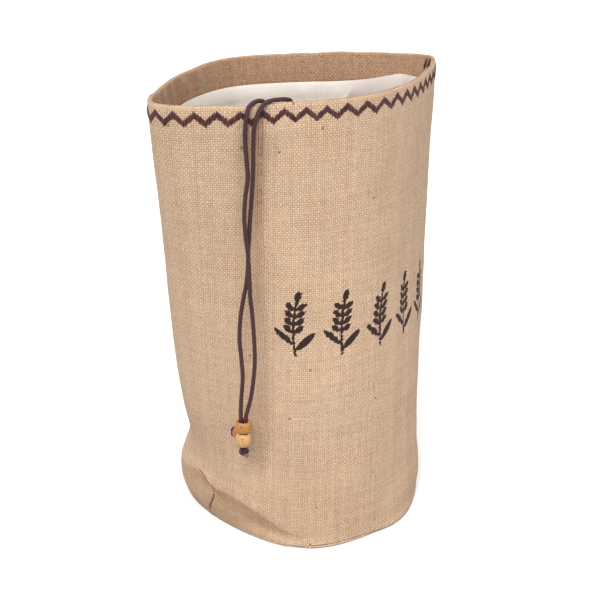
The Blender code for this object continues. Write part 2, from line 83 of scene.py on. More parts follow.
# Tables and curves, all in millimetres
def fromRows(rows, at, column):
    # a column of a table at places in its first column, joined smoothly
    keys = np.array([row[0] for row in rows], float)
    values = np.array([row[column] for row in rows], float)
    slopes = np.zeros(len(keys))
    slopes[1:-1] = (values[2:] - values[:-2]) / (keys[2:] - keys[:-2])
    at = np.clip(np.asarray(at, float), keys[0], keys[-1])
    low = np.clip(np.searchsorted(keys, at, side="right") - 1, 0, len(keys) - 2)
    span = keys[low + 1] - keys[low]
    share = (at - keys[low]) / span
    square = share * share
    cube = square * share
    return (
        (2 * cube - 3 * square + 1) * values[low]
        + (cube - 2 * square + share) * span * slopes[low]
        + (3 * square - 2 * cube) * values[low + 1]
        + (cube - square) * span * slopes[low + 1]
    )


def ramp(value, start, end):
    # 0 at start to 1 at end, smoothly, whichever of them is higher
    share = np.clip((value - start) / (end - start), 0.0, 1.0)
    return share * share * (3.0 - 2.0 * share)


def bump(distance, width):
    # 1 at the middle, 0 from width outwards
    return np.clip(1.0 - np.abs(distance) / width, 0.0, 1.0) ** 2


def smoothCurve(points, closed, steps=24):
    # a curve through the points that doesn't overshoot where they are close
    points = np.asarray(points, float)
    if closed:
        around = np.vstack([points[-1:], points, points[:2]])
    else:
        around = np.vstack([2 * points[:1] - points[1:2], points, 2 * points[-1:] - points[-2:-1]])
    share = np.linspace(0.0, 1.0, steps, endpoint=False)[:, None]
    curve = []
    for four in zip(around, around[1:], around[2:], around[3:]):
        times = np.cumsum([0.0] + [math.sqrt(np.linalg.norm(b - a)) for a, b in zip(four, four[1:])])
        t = times[1] + share * (times[2] - times[1])
        for pairs in (((0, 1), (1, 2), (2, 3)), ((0, 2), (1, 3)), ((1, 2),)):
            four = [
                a * (times[j] - t) / (times[j] - times[i]) + b * (t - times[i]) / (times[j] - times[i])
                for (i, j), a, b in zip(pairs, four, four[1:])
            ]
        curve.append(four[0])
    curve.append(points[:1] if closed else points[-1:])
    return np.vstack(curve)


def distances(points):
    # how far each point lies along the way from the first
    steps = np.linalg.norm(np.diff(points, axis=0), axis=-1)
    return np.concatenate([np.zeros_like(steps[:1]), np.cumsum(steps, axis=0)])


def curveLength(curve):
    return float(distances(curve)[-1])


def loopLength(loop):
    return curveLength(np.vstack([loop, loop[:1]]))


def spaced(curve, count):
    # count + 1 points at even distances
    along = distances(curve)
    wanted = np.linspace(0.0, along[-1], count + 1)
    return np.stack([np.interp(wanted, along, column) for column in curve.T], axis=1)


noiseSpread = 1.6  # brings the noise up to about -1 to 1


def softNoise(x, y, z):
    # noise at arrays of places
    x, y, z = np.broadcast_arrays(x, y, z)
    values = [noise.noise(Vector(place)) for place in zip(x.ravel(), y.ravel(), z.ravel())]
    return np.array(values).reshape(x.shape) * noiseSpread


# The standing wall
wall = {
    "height": 376.8,
    "baseRadius": 107.6,
    "seamAngle": -142.0,
    "foot": 3.6,
    "columns": 936,
    "shareSteps": 20001,
    "clothWidth": 690.0,
    "thickness": 1.6,
    "foldRadius": 1.9,
    "hemInset": 5.2,
    "hemInsetDepth": 16.0,
    "rimWave": 0.55,
    "rimWaveScale": 4.2,
    "rimWaveFrom": (350.0, 374.0),
    "undersideLimit": 0.62,
    "undersideSoft": 0.35,
    "undersideCurve": 2.2,
    "ridgeShoulder": 16.0,
    "flareHeight": 11.0,
}

# Mouth outline from above, from the seam to the right
mouthOutline = (
    # place, x, y
    ("seam", -88, -83), ("front left", -45, -95), ("front middle", -8, -99), ("front right", 38, -84),
    ("front far right", 80, -56), ("right corner front", 113, -27), ("right corner", 130, -4),
    ("right corner back", 122, 17), ("back right", 86, 47), ("back middle right", 30, 76),
    ("back middle left", -20, 84), ("back left", -67, 62), ("back far left", -113, 20),
    ("left corner back", -138, -8), ("left corner", -150, -34), ("left corner front", -140, -53),
    ("front far left", -111, -73),
)

wallRows = (
    # height, mouth share, left, right, low left, front, front right
    (0.0, 0.00, 1.0, -3.0, -9.0, 3.6, 2.4),
    (8.0, 0.02, 3.2, -2.6, -7.0, 3.0, 2.0),
    (18.0, 0.04, 5.0, -1.6, -3.6, 1.8, 1.2),
    (30.0, 0.07, 3.4, -2.2, -1.0, 0.5, 0.4),
    (45.0, 0.11, -1.6, -4.0, 0.0, 0.0, 0.0),
    (60.0, 0.16, -6.4, -4.4, 0.0, 0.0, 0.0),
    (80.0, 0.22, -8.6, -5.2, 0.0, 0.0, 0.0),
    (110.0, 0.30, -4.2, -5.2, 0.0, 0.0, 0.0),
    (150.0, 0.40, -1.7, -4.8, 0.0, 0.0, 0.0),
    (200.0, 0.53, -0.6, -4.2, 0.0, 0.0, 0.0),
    (250.0, 0.66, -0.4, -3.8, 0.0, 0.0, 0.0),
    (300.0, 0.80, 0.6, -2.2, 0.0, 0.0, 0.0),
    (335.0, 0.89, 3.8, -0.4, 0.0, 0.0, 0.0),
    (360.0, 0.96, 4.9, 0.4, 0.0, 0.0, 0.0),
    (376.8, 1.00, 4.2, 0.3, 0.0, 0.0, 0.0),
)
swells = (
    # column of wallRows, direction, how narrow
    (2, 146, 2), (3, -34, 2), (4, -166, 8), (5, -120, 16), (6, -74, 30),
)
creases = (
    # name, along, foot, full from, full to, head, depth, left width, right width
    ("seam valley", 0, 30, 110, 330, 360, 6.0, 34, 26),
    ("right end trough", 138, 20, 90, 250, 330, 2.0, 34, 30),
    ("back left trough", -170, 40, 120, 260, 345, 3.0, 45, 38),
    ("back right trough", 262, 15, 60, 180, 300, 2.4, 40, 44),
)
baseFold = (
    # along, ridge height, band drawn in, ridge proud, length of the underside
    (-185, 30, 0.0, 0.0, 12), (-140, 32, 0.0, 0.0, 12), (-104, 39, 1.2, 1.3, 16),
    (-73, 48.5, 2.2, 1.4, 17), (-62, 46.8, 3.0, 1.4, 14), (-55, 44.6, 3.6, 1.3, 11),
    (-48, 41.8, 3.0, 1.2, 13), (-35, 41.2, 2.6, 1.0, 17), (-25, 39.8, 2.6, 0.9, 18),
    (-14, 34.5, 2.5, 0.9, 18), (0, 26.8, 2.0, 0.7, 15), (14, 17.5, 1.2, 0.5, 10), (28, 11.5, 0.3, 0.2, 6),
    (48, 13, 0.0, 0.0, 7), (90, 30, 0.0, 0.0, 12), (185, 30, 0.0, 0.0, 12),
)
rimRows = (
    # along, how far the rim's crest sits above its mean height
    (-345, 0.0), (-250, 0.0), (-230, -0.6), (-212, -1.4), (-195, -1.6), (-165, -1.3), (-148, -1.2),
    (-137, -2.0), (-127, -2.3), (-118, -1.0), (-108, 0.0), (-90, 0.0), (345, 0.0),
)
flareRows = (
    # along, how far the wall's foot flares out
    (-350, 0.0), (-130, 0.0), (-100, 0.1), (-75, 0.5), (-55, 1.5), (-30, 1.7), (-5, 1.3), (15, 1.7),
    (32, 2.2), (50, 1.4), (75, 0.6), (98, 0.8), (118, 1.5), (140, 1.6), (165, 0.8), (200, 0.0),
    (350, 0.0),
)
footRows = (
    # along, height of the wall's lower edge; the base seam shows only at the front right
    (-340, 0.3), (8, 0.3), (34, 2.9), (70, 3.0), (84, 2.7), (98, 1.7), (114, 0.3), (340, 0.3),
)
hemRows = (
    # along, depth of the hem's edge below the rim
    (-352, 26), (-200, 26), (-100, 27), (-40, 24.8), (120, 24.8), (240, 23), (262, 20), (300, 23),
    (352, 26),
)


def foldDeepest(along):
    # height at which the low fold's underside meets the band
    ridge = fromRows(baseFold, along, 1)
    limit = wall["undersideLimit"] * (ridge - wall["foot"])
    return ridge - np.minimum(fromRows(baseFold, along, 4), limit)


def outward(loop):
    tangent = np.roll(loop, -1, axis=0) - np.roll(loop, 1, axis=0)
    tangent /= np.linalg.norm(tangent, axis=1)[:, None]
    return np.stack([tangent[:, 1], -tangent[:, 0]], axis=1)


def signedAlong(share, girth):
    # distance along the cloth from the seam, positive to the right
    share = np.asarray(share, float) % 1.0
    return np.where(share > 0.5, share - 1.0, share) * girth


class Wall:
    # the wall's outer face, at any share of the way round and any height
    def __init__(self):
        count = wall["columns"]
        points = [(x, y) for _, x, y in mouthOutline]
        self.mouth = spaced(smoothCurve(points, True), count)[:-1]
        angles = math.radians(wall["seamAngle"]) + fullTurn * np.arange(count) / count
        self.base = np.stack([np.cos(angles), np.sin(angles)], axis=1) * wall["baseRadius"]
        self.mouthGirth = loopLength(self.mouth)
        self.baseGirth = loopLength(self.base)
        self.heights = np.arange(0.0, wall["height"] + 1.0)
        self.loops = np.stack([self.makeLoop(h, True) for h in self.heights])
        self.normals = np.stack([outward(loop) for loop in self.loops])
        self.plainFoot = self.makeLoop(wall["foot"], False)

    def makeLoop(self, height, creased):
        share = float(fromRows(wallRows, height, 1))
        loop = self.base * (1 - share) + self.mouth * share
        girth = self.baseGirth + (self.mouthGirth - self.baseGirth) * share
        middle = loop.mean(axis=0)
        loop = middle + (loop - middle) * girth / loopLength(loop)
        ray = loop - middle
        ray /= np.linalg.norm(ray, axis=1)[:, None]
        angle = np.arctan2(ray[:, 1], ray[:, 0])
        out = np.zeros(len(loop))
        for column, direction, narrow in swells:
            facing = np.maximum(np.cos(angle - math.radians(direction)), 0.0)
            out += float(fromRows(wallRows, height, column)) * facing ** narrow
        loop = loop + ray * out[:, None]
        if not creased:
            return loop
        along = signedAlong(np.arange(len(loop)) / len(loop), girth)
        return loop - outward(loop) * self.creaseDepth(along, height, girth)[:, None]

    @staticmethod
    def creaseDepth(along, height, girth):
        depth = np.zeros(len(along))
        for _, at, foot, fullFrom, fullTo, head, deep, left, right in creases:
            across = along - at
            across = across - girth * np.round(across / girth)
            width = np.where(across > 0, right, left)
            depth += deep * bump(across, width) * ramp(height, foot, fullFrom) * ramp(height, head, fullTo)
        return depth

    def lookUp(self, table, share, height):
        place = (np.asarray(share, float) % 1.0) * wall["columns"]
        left = np.floor(place).astype(int) % wall["columns"]
        right = (left + 1) % wall["columns"]
        across = (place - np.floor(place))[..., None]
        height = np.clip(height, 0.0, self.heights[-1])
        low = np.minimum(height.astype(int), len(self.heights) - 2)
        up = (height - low)[..., None]
        below = table[low, left] * (1 - across) + table[low, right] * across
        above = table[low + 1, left] * (1 - across) + table[low + 1, right] * across
        return below * (1 - up) + above * up

    def foldOffset(self, share, height):
        # the low fold: a ridge that overhangs a drawn-in band
        along = signedAlong(share, self.baseGirth)
        ridge, drawnIn, proud = (fromRows(baseFold, along, column) for column in (1, 2, 3))
        deepest = foldDeepest(along)
        band = -drawnIn * ramp(height, wall["foot"], deepest)
        rise = np.clip((height - deepest) / (ridge - deepest), 0.0, 1.0)
        soft = wall["undersideSoft"]
        swell = soft * ramp(height, deepest, ridge) + (1.0 - soft) * rise ** wall["undersideCurve"]
        under = -drawnIn + (drawnIn + proud) * swell
        over = proud * (1 - ramp(height, ridge, ridge + wall["ridgeShoulder"]))
        flare = fromRows(flareRows, along, 1) * (1 - ramp(height, 0.0, wall["flareHeight"]))
        return np.where(height <= deepest, band, np.where(height <= ridge, under, over)) + flare

    def point(self, share, height, out=0.0):
        share, height, out = np.broadcast_arrays(share, np.asarray(height, float), out)
        place = self.lookUp(self.loops, share, height)
        normal = self.lookUp(self.normals, share, height)
        offset = self.foldOffset(share, height) + out
        place = place + normal * offset[..., None]
        return np.concatenate([place, height[..., None]], axis=-1)


bag = Wall()
print("wall worked out, mouth girth %.1f mm" % bag.mouthGirth)


# Nodes: sums on sockets, and one way to add any other node
def addNode(tree, kind, settings, inputs, output=0):
    node = tree.nodes.new(kind)
    for key, value in settings.items():
        setattr(node, key, value)
    for key, value in inputs.items():
        if isinstance(value, Field):
            tree.links.new(value.socket, node.inputs[key])
        else:
            node.inputs[key].default_value = value
    return Field(tree, node.outputs[output])


class Field:
    # a socket, used in sums like a number
    def __init__(self, tree, socket):
        self.tree = tree
        self.socket = socket

    def maths(self, operation, *others):
        values = dict(enumerate((self, *others)))
        return addNode(self.tree, "ShaderNodeMath", {"operation": operation}, values)

    def __add__(self, other):
        return self.maths("ADD", other)

    def __sub__(self, other):
        return self.maths("SUBTRACT", other)

    def __rsub__(self, other):
        return -self + other

    def __mul__(self, other):
        return self.maths("MULTIPLY", other)

    def __truediv__(self, other):
        return self.maths("DIVIDE", other)

    def __pow__(self, other):
        return self.maths("POWER", other)

    def __lt__(self, other):
        return self.maths("LESS_THAN", other)

    def __gt__(self, other):
        return self.maths("GREATER_THAN", other)

    def __neg__(self):
        return self * -1.0

    def __abs__(self):
        return self.maths("ABSOLUTE")

    __radd__ = __add__
    __rmul__ = __mul__

    def floor(self):
        return self.maths("FLOOR")

    def sine(self):
        return self.maths("SINE")

    def root(self):
        return self.maths("MAXIMUM", 0.0).maths("SQRT")

    def over(self, other):
        return self.maths("MAXIMUM", other)

    def wrapped(self, size):
        return self.maths("FLOORED_MODULO", size)

    def soft(self, low, high):
        # 0 below low to 1 above high
        return addNode(self.tree, "ShaderNodeMapRange", {"interpolation_type": "SMOOTHSTEP"}, {
            "Value": self, "From Min": low, "From Max": high, "To Min": 0.0, "To Max": 1.0,
        })


class Paint:
    # a material and the nodes of its shader
    def __init__(self, name):
        self.material = bpy.data.materials.new(name)
        self.material.use_nodes = True
        self.tree = self.material.node_tree

    def add(self, kind, settings, inputs, output=0):
        return addNode(self.tree, kind, settings, inputs, output)

    def vector(self, x, y, z=0.0):
        return self.add("ShaderNodeCombineXYZ", {}, {0: x, 1: y, 2: z})

    def noiseAt(self, place, scale, detail=1.0, roughness=0.5):
        return self.add("ShaderNodeTexNoise", {}, {
            "Vector": place, "Scale": scale, "Detail": detail, "Roughness": roughness,
        })

    def noise(self, x, y, z=0.0, detail=1.0, roughness=0.5):
        return self.noiseAt(self.vector(x, y, z), 1.0, detail, roughness)

    def chance(self, number):
        # one random value for each whole number
        return self.add("ShaderNodeTexWhiteNoise", {"noise_dimensions": "1D"}, {"W": number})

    def chanceOfPair(self, x, y):
        # one random value for each pair of whole numbers
        place = {"Vector": self.vector(x, y)}
        return self.add("ShaderNodeTexWhiteNoise", {"noise_dimensions": "2D"}, place)

    def mix(self, factor, a, b, blend="MIX"):
        settings = {"data_type": "RGBA", "blend_type": blend}
        return self.add("ShaderNodeMix", settings, {0: factor, 6: a, 7: b}, 2)

    def choose(self, factor, a, b):
        # a where factor is 0, b where it is 1
        return self.add("ShaderNodeMix", {"data_type": "FLOAT"}, {0: factor, 2: a, 3: b})

    def attribute(self, name):
        return self.add("ShaderNodeAttribute", {"attribute_name": name}, {}, "Fac")

    def uv(self, name):
        at = self.add("ShaderNodeUVMap", {"uv_map": name}, {})
        return [self.add("ShaderNodeSeparateXYZ", {}, {0: at}, k) for k in (0, 1)]

    def place(self):
        # place on the piece, in metres
        return self.add("ShaderNodeTexCoord", {}, {}, "Object")

    def bump(self, height, distance, strength=1.0):
        values = {"Height": height, "Distance": distance, "Strength": strength}
        return self.add("ShaderNodeBump", {}, values)

    def finish(self, colour, normal, **values):
        # the other sockets by their names, with a line for each space
        shader = self.tree.nodes["Principled BSDF"]
        for key, value in {"Base_Color": colour, "Normal": normal, **values}.items():
            socket = shader.inputs[key.replace("_", " ")]
            if isinstance(value, Field):
                self.tree.links.new(value.socket, socket)
            elif value is not None:
                socket.default_value = value
        return self.material


def shade(red, green, blue):
    # a linear colour from a display colour of 0 to 255
    def straight(value):
        value /= 255.0
        return value / 12.92 if value <= 0.04045 else ((value + 0.055) / 1.055) ** 2.4
    return (straight(red), straight(green), straight(blue), 1.0)


# Mesh helpers
def plainMesh(item):
    # bakes the modifiers of an object into a plain mesh
    bpy.context.view_layer.update()
    evaluated = item.evaluated_get(bpy.context.evaluated_depsgraph_get())
    made = bpy.data.meshes.new_from_object(evaluated)
    item.modifiers.clear()
    old = item.data
    item.data = made
    made.name = item.name
    if old.users == 0:
        bpy.data.meshes.remove(old)
    return item


def newPiece(name, vertices, faces):
    data = bpy.data.meshes.new(name)
    data.from_pydata([tuple(v) for v in np.asarray(vertices, float) * mm], [], faces)
    data.shade_smooth()
    return placed(name, data)


def bandFaces(rowCount, count):
    # faces between closed rows of points, and the row and place of each of their corners
    faces = []
    corners = []
    for r in range(rowCount - 1):
        for i in range(count):
            j = (i + 1) % count
            faces.append((r * count + i, r * count + j, (r + 1) * count + j, (r + 1) * count + i))
            corners += [(r, i), (r, i + 1), (r + 1, i + 1), (r + 1, i)]
    return faces, corners


def storeUv(item, name, uvs):
    item.data.uv_layers.new(name=name).data.foreach_set("uv", np.asarray(uvs, float).ravel())


def storeValues(item, layers):
    # a value for each point, for the material
    for key, values in layers.items():
        item.data.attributes.new(key, "FLOAT", "POINT").data.foreach_set("value", values.ravel())


def sheetFromRows(name, rows, shares, thickness, levelRow=0, level=0.0, floor=False):
    # closed rows of points, lowest first; the UVs are lengths along the cloth, level at levelRow
    rows = np.asarray(rows)
    count = rows.shape[1]
    vertices = rows.reshape(-1, 3)
    vs = distances(rows)
    vs = vs + (level - vs[levelRow])
    vs = np.c_[vs, vs[:, :1]]
    us = np.append(shares, 1.0) * wall["clothWidth"]
    faces, corners = bandFaces(len(rows), count)
    uvs = [(us[i], vs[r, i]) for r, i in corners]
    if floor:
        faces.append(tuple(range(count - 1, -1, -1)))
        uvs += [tuple(vertices[i][:2]) for i in range(count - 1, -1, -1)]
    item = newPiece(name, vertices, faces)
    storeUv(item, "cloth", np.array(uvs) * mm)
    solid = item.modifiers.new("thickness", "SOLIDIFY")
    solid.thickness = thickness * mm
    solid.offset = -1.0
    solid.use_even_offset = True
    return item


notAlong = (0.3, 0.2, 1.0)  # a direction that no tube starts in


def braidedTube(name, path, radius, sides):
    # a closed round tube along points in mm, with UVs: along, round
    path = np.asarray(path, float)
    tangent = np.gradient(path, axis=0)
    tangent /= np.linalg.norm(tangent, axis=1)[:, None]
    side = np.cross(tangent[0], notAlong)
    sidesAt = []
    for t in tangent:
        side = side - t * np.dot(side, t)
        side = side / np.linalg.norm(side)
        sidesAt.append(side)
    sidesAt = np.array(sidesAt)
    other = np.cross(tangent, sidesAt)
    along = distances(path)
    angles = fullTurn * np.arange(sides) / sides
    radii = radius + braid(along[:, None], angles[None, :])
    ring = (
        sidesAt[:, None] * np.cos(angles)[None, :, None]
        + other[:, None] * np.sin(angles)[None, :, None]
    )
    rows = path[:, None] + ring * radii[..., None]
    faces, corners = bandFaces(len(path), sides)
    uvs = [(along[r], i / sides) for r, i in corners]
    last = (len(path) - 1) * sides
    faces += [tuple(range(sides - 1, -1, -1)), tuple(range(last, last + sides))]
    uvs += [(0.0, 0.0)] * sides + [(along[-1], 0.0)] * sides
    item = newPiece(name, rows.reshape(-1, 3), faces)
    storeUv(item, "cord", np.array(uvs) * (mm, 1.0))
    item.data.validate()
    return item


mergeDistance = 1e-4 * mm


def recalculated(item):
    # faces outwards, doubles merged
    shape = bmesh.new()
    shape.from_mesh(item.data)
    bmesh.ops.remove_doubles(shape, verts=shape.verts, dist=mergeDistance)
    bmesh.ops.recalc_face_normals(shape, faces=shape.faces)
    shape.to_mesh(item.data)
    shape.free()
    return item


# Hessian wall, turned over at the rim into its hem
hessian = {
    "columns": 410,
    "closer": ((-58.0, 13.0, 4.0), (0.0, 6.0, 0.8)),  # along, width, extra columns
    "rowCounts": (14, 11, 15, 36, 8),  # band, underside of the fold, its shoulder, wall, top
    "topFrom": 352.0,
    "foldSteps": 8,
    "hemInnerRows": 8,
    "seamAt": -3.7,
    "grooveDepth": 0.8,
    "grooveWidth": 2.0,
    "grooveLow": 0.12,
    "grooveFullFrom": (285.0, 325.0),
    "weltAt": 4.5,
    "weltHeight": 0.5,
    "weltWidth": 11.0,
    "wrinkleRadius": 110.0,
    "wrinkles": ((0.55, 46.0, 58.0, 0.0), (0.22, 17.0, 26.0, 9.0)),  # how high, width, length, start
    "wrinklesFrom": (4.0, 16.0),
    "wrinklesTo": (372.0, 358.0),
    "stitchDent": 0.3,
    "stitchDentWidth": 3.4,
    "pinchDepth": 3.4,
    "pinchLip": 0.7,
    "lipAt": 2.2,
    "lipWidth": 4.5,
    "lipBeyond": 0.35,
    "paintedShadeFrom": (-1.0, 2.0),
    "paintedShadeMost": (5.0, 19.0),  # where below the ridge, half width
    "paintedShadeRest": 0.4,
    "fullyShadedAt": 4.0,
    "hemWrinkle": 1.9,
    "puckerLean": 0.28,
    "puckerLeanFrom": 372.0,
    "puckersFrom": (353.0, 361.0),
    "puckersFade": 4.0,
    # painted shade between the hem's puckers and painted highlight on them
    "hemShadow": 0.55,
    "hemHighlight": -0.25,
    "puckerHighlight": (1.4, 1.25),  # how much, how much wider
    "hemShadowFrom": (-108.0, -120.0),
    "hemShadowTo": (-250.0, -214.0),
}
hemPuckers = (
    # along, half width, how high
    (-116, 5, 0.8), (-130, 5, 0.7), (-147, 8, 1.0), (-168, 6, 0.9), (-196, 11, 1.2), (-224, 9, 0.7),
    (-244, 10, 0.4),
)
pinchLines = (
    # points (along, height) of the creases in the low fold, depth share, half width, how dark the painted
    # shadow along it is
    (((-73, 50.2), (-68, 48.8), (-62.5, 46.6), (-60, 43.5), (-58.5, 39)), 0.32, 1.5, 0.7),
    ((
        (-58.5, 39), (-57.4, 36), (-55.6, 31), (-56.8, 25.5), (-60, 19.5), (-64, 13), (-67, 8), (-69, 2),
    ), 0.75, 1.7, 1.0),
)
zigzag = {
    "top": 6.1,
    "drop": 6.2,
    "stitchesPerLeg": 7,
    "strokeStitches": 5,
    "lift": 0.30,
    "seed": 4,
    "sizes": {"Length": 5.0, "Radius": 0.66, "Dive": 0.5},
    "lean": 0.16,
    "smallest": (0.9, 0.86, 0.9),
    "largest": (1.1, 1.12, 1.15),
    "sizeSeed": 7.0,
    "toneSeed": 13.0,
    "resolution": (6, 7),  # along a thread, round it
}
# Where the zigzag's tips fall along the rim: upper tips at even numbers
zigzagTips = (
    # along, tip
    (-351.2, -44), (-92.0, -12), (-78.0, -10), (-64.0, -8), (-49.4, -6), (-34.1, -4), (-17.7, -2),
    (-2.3, 0), (13.2, 2), (29.7, 4), (45.2, 6), (61.4, 8), (78.3, 10), (95.8, 12), (113.2, 14),
    (128.6, 16), (143.0, 18), (158.3, 20), (174.7, 22), (191.6, 24), (209.0, 26), (351.2, 44),
)


def distanceToLine(points, x, y):
    # shortest distance, and that distance with a sign: positive on the right of the way it runs
    best = np.full(np.shape(x), np.inf)
    signed = np.full(np.shape(x), np.inf)
    for (ax, ay), (bx, by) in zip(points, points[1:]):
        dx, dy = bx - ax, by - ay
        share = np.clip(((x - ax) * dx + (y - ay) * dy) / (dx * dx + dy * dy), 0.0, 1.0)
        away = np.hypot(x - ax - share * dx, y - ay - share * dy)
        turn = np.sign(dy * (x - ax) - dx * (y - ay))
        signed = np.where(away < best, away * turn, signed)
        best = np.minimum(best, away)
    return best, signed


insideStrokes = (
    # strokes of the zigzag seen inside the right corner, from and to (along, height)
    ((246.5, 372.6), (251.0, 368.6)),
    ((248.8, 372.4), (253.0, 368.2)),
    ((257.0, 371.6), (259.2, 367.0)),
)


def hemInset(height):
    # how far the hem's inner face lies behind the wall's outer face
    radius = wall["foldRadius"]
    down = wall["height"] - radius - height
    return 2 * radius + (wall["hemInset"] - 2 * radius) * ramp(down, 0.0, wall["hemInsetDepth"])


def zigzagHeight(along):
    # height of the zigzag's middle line
    places, tips = np.array(zigzagTips).T
    swing = np.abs(np.interp(along, places, tips) % 2.0 - 1.0)
    return wall["height"] - zigzag["top"] - zigzag["drop"] * (1.0 - swing)


def clothDetail(share, height):
    # small creases and wrinkles of the wall's outer face, in mm outwards
    along = signedAlong(share, bag.mouthGirth)
    around = np.asarray(share) * fullTurn
    x, y = np.cos(around) * hessian["wrinkleRadius"], np.sin(around) * hessian["wrinkleRadius"]
    fade = ramp(height, *hessian["wrinklesFrom"]) * ramp(height, *hessian["wrinklesTo"])
    out = sum(
        softNoise(x / wide, y / wide, height / tall + start) * high
        for high, wide, tall, start in hessian["wrinkles"]
    ) * fade
    for points, deep, width, _ in pinchLines:
        best, signed = distanceToLine(points, along, height)
        lip = bump(best - hessian["lipAt"], hessian["lipWidth"])
        lip = lip * np.where(signed < 0, 1.0, hessian["lipBeyond"])
        out += deep * (hessian["pinchLip"] * lip - hessian["pinchDepth"] * bump(best, width))
    low = hessian["grooveLow"]
    groove = low + (1.0 - low) * ramp(height, *hessian["grooveFullFrom"])
    fromSeam = along - hessian["seamAt"]
    welt = bump(np.abs(fromSeam) - hessian["weltAt"], hessian["weltWidth"])
    out -= hessian["grooveDepth"] * bump(fromSeam, hessian["grooveWidth"]) * groove
    out += hessian["weltHeight"] * welt * groove * fade
    return out - hessian["stitchDent"] * bump(height - zigzagHeight(along), hessian["stitchDentWidth"])


def rimShift(share, height):
    # the rim rises and dips a little, in mm
    around = np.asarray(share) * fullTurn
    scale = wall["rimWaveScale"]
    rise = softNoise(np.cos(around) * scale, np.sin(around) * scale, 2.0) * wall["rimWave"]
    rise = rise + fromRows(rimRows, signedAlong(share, bag.mouthGirth), 1)
    return rise * ramp(height, *wall["rimWaveFrom"])


def creaseShade(share, height):
    # for the material: painted shadow, 1 along the sharp creases of the low fold, and painted shade on the
    # band below it
    along = signedAlong(share, bag.mouthGirth)
    dark = np.zeros(np.shape(along))
    for points, _, width, darkness in pinchLines:
        best, _ = distanceToLine(points, along, height)
        dark = np.maximum(dark, darkness * bump(best, width))
    low = signedAlong(share, bag.baseGirth)
    down = fromRows(baseFold, low, 1) - height
    folded = np.clip(fromRows(baseFold, low, 2) / hessian["fullyShadedAt"], 0.0, 1.0)
    most, width = hessian["paintedShadeMost"]
    rest = hessian["paintedShadeRest"]
    paintedShade = rest + (1.0 - rest) * bump(down - most, width)
    return dark, folded * ramp(down, *hessian["paintedShadeFrom"]) * paintedShade


def columnShares(count, closer):
    # places of the columns round the cloth, closer together where there is more detail
    fine = np.linspace(0.0, 1.0, wall["shareSteps"])
    along = signedAlong(fine, bag.mouthGirth)
    density = np.ones(len(fine))
    for at, width, extra in closer:
        density += extra * np.exp(-((along - at) / width) ** 2)
    total = np.concatenate([[0.0], np.cumsum(0.5 * (density[1:] + density[:-1]))])
    return np.interp(np.linspace(0.0, 1.0, count + 1)[:-1], total / total[-1], fine)


def onPuckers(along, height):
    # for each pucker of the hem, all of which lean: distance from its middle, half width, how high
    across = along + hessian["puckerLean"] * (hessian["puckerLeanFrom"] - height)
    return [(across - at, width, high) for at, width, high in hemPuckers]


def hemWrinkle(along, height):
    # soft upright puckers in the turned-in hem near the left corner, in mm inwards
    raised = sum(high * bump(across, width) for across, width, high in onPuckers(along, height))
    return hessian["hemWrinkle"] * raised * ramp(height, *hessian["puckersFrom"])


def hemShade(along, height):
    # painted shade on the hem's inner face between its puckers, and painted highlight on them
    share, wider = hessian["puckerHighlight"]
    lit = sum(bump(across, wider * width) for across, width, _ in onPuckers(along, height))
    left = ramp(along, *hessian["hemShadowFrom"]) * ramp(along, *hessian["hemShadowTo"])
    return left * np.clip(hessian["hemShadow"] - share * lit, hessian["hemHighlight"], hessian["hemShadow"])


def makeHessian():
    shares = columnShares(hessian["columns"], hessian["closer"])
    along = signedAlong(shares, bag.baseGirth)
    level = np.zeros(len(shares))
    ridge = fromRows(baseFold, along, 1)
    foldCentre = wall["height"] - wall["foldRadius"]
    edges = (
        fromRows(footRows, along, 1), foldDeepest(along), ridge, ridge + wall["ridgeShoulder"],
        hessian["topFrom"], foldCentre,
    )
    heights = []
    for low, high, count in zip(edges, edges[1:], hessian["rowCounts"]):
        heights += [level + low + (high - low) * k / count for k in range(count)]
    heights = np.array(heights)
    wide = np.broadcast_to(shares, heights.shape)
    rows = [bag.point(wide, heights, clothDetail(wide, heights))]
    radius = wall["foldRadius"]
    for step in range(hessian["foldSteps"] + 1):
        angle = math.pi * step / hessian["foldSteps"]
        row = bag.point(shares, level + foldCentre, -radius * (1 - math.cos(angle)))
        row[:, 2] += radius * math.sin(angle)
        rows.append(row[None])
    mouthAlong = signedAlong(shares, bag.mouthGirth)
    edge = wall["height"] - fromRows(hemRows, mouthAlong, 1)
    inner = hessian["hemInnerRows"]
    for step in range(1, inner + 1):
        height = foldCentre + (edge - foldCentre) * step / inner
        fade = ramp(height, foldCentre, foldCentre - hessian["puckersFade"])
        wrinkle = hemWrinkle(mouthAlong, height) * fade
        rows.append(bag.point(shares, height, -hemInset(height) - wrinkle)[None])
    rows = np.concatenate(rows)
    rows[..., 2] += rimShift(shares, rows[..., 2])
    dark, paintedShade = np.zeros((2,) + rows.shape[:2])
    # painted shade below the low fold's ridge, and between the hem's puckers
    dark[:len(heights)], paintedShade[:len(heights)] = creaseShade(wide, heights)
    paintedShade[-inner:] = hemShade(mouthAlong, rows[-inner:, :, 2])
    item = sheetFromRows("hessianCloth", rows, shares, wall["thickness"], len(heights), foldCentre)
    storeValues(item, {"creaseShadow": dark, "paintedShade": paintedShade})
    plainMesh(item)
    for vertex in item.data.vertices:
        vertex.co.z = max(vertex.co.z, 0.0)
    return item


hessianCloth = makeHessian()
print("hessian cloth: %d faces" % len(hessianCloth.data.polygons))

# Base panel, its edge turned up to the wall
basePanel = {
    "columns": 280,
    "edgeRadius": 2.6,
    "edgeSteps": 6,
}
baseEdgeRows = (
    # along, how far the panel's edge is tucked in behind the wall, height of the edge
    (-340, 2.2, 4.2), (8, 2.2, 4.2), (26, 1.9, 2.2), (44, 0.1, 2.4), (84, 0.1, 2.2), (98, 0.8, 1.9),
    (114, 1.9, 1.9), (128, 2.2, 4.2), (340, 2.2, 4.2),
)


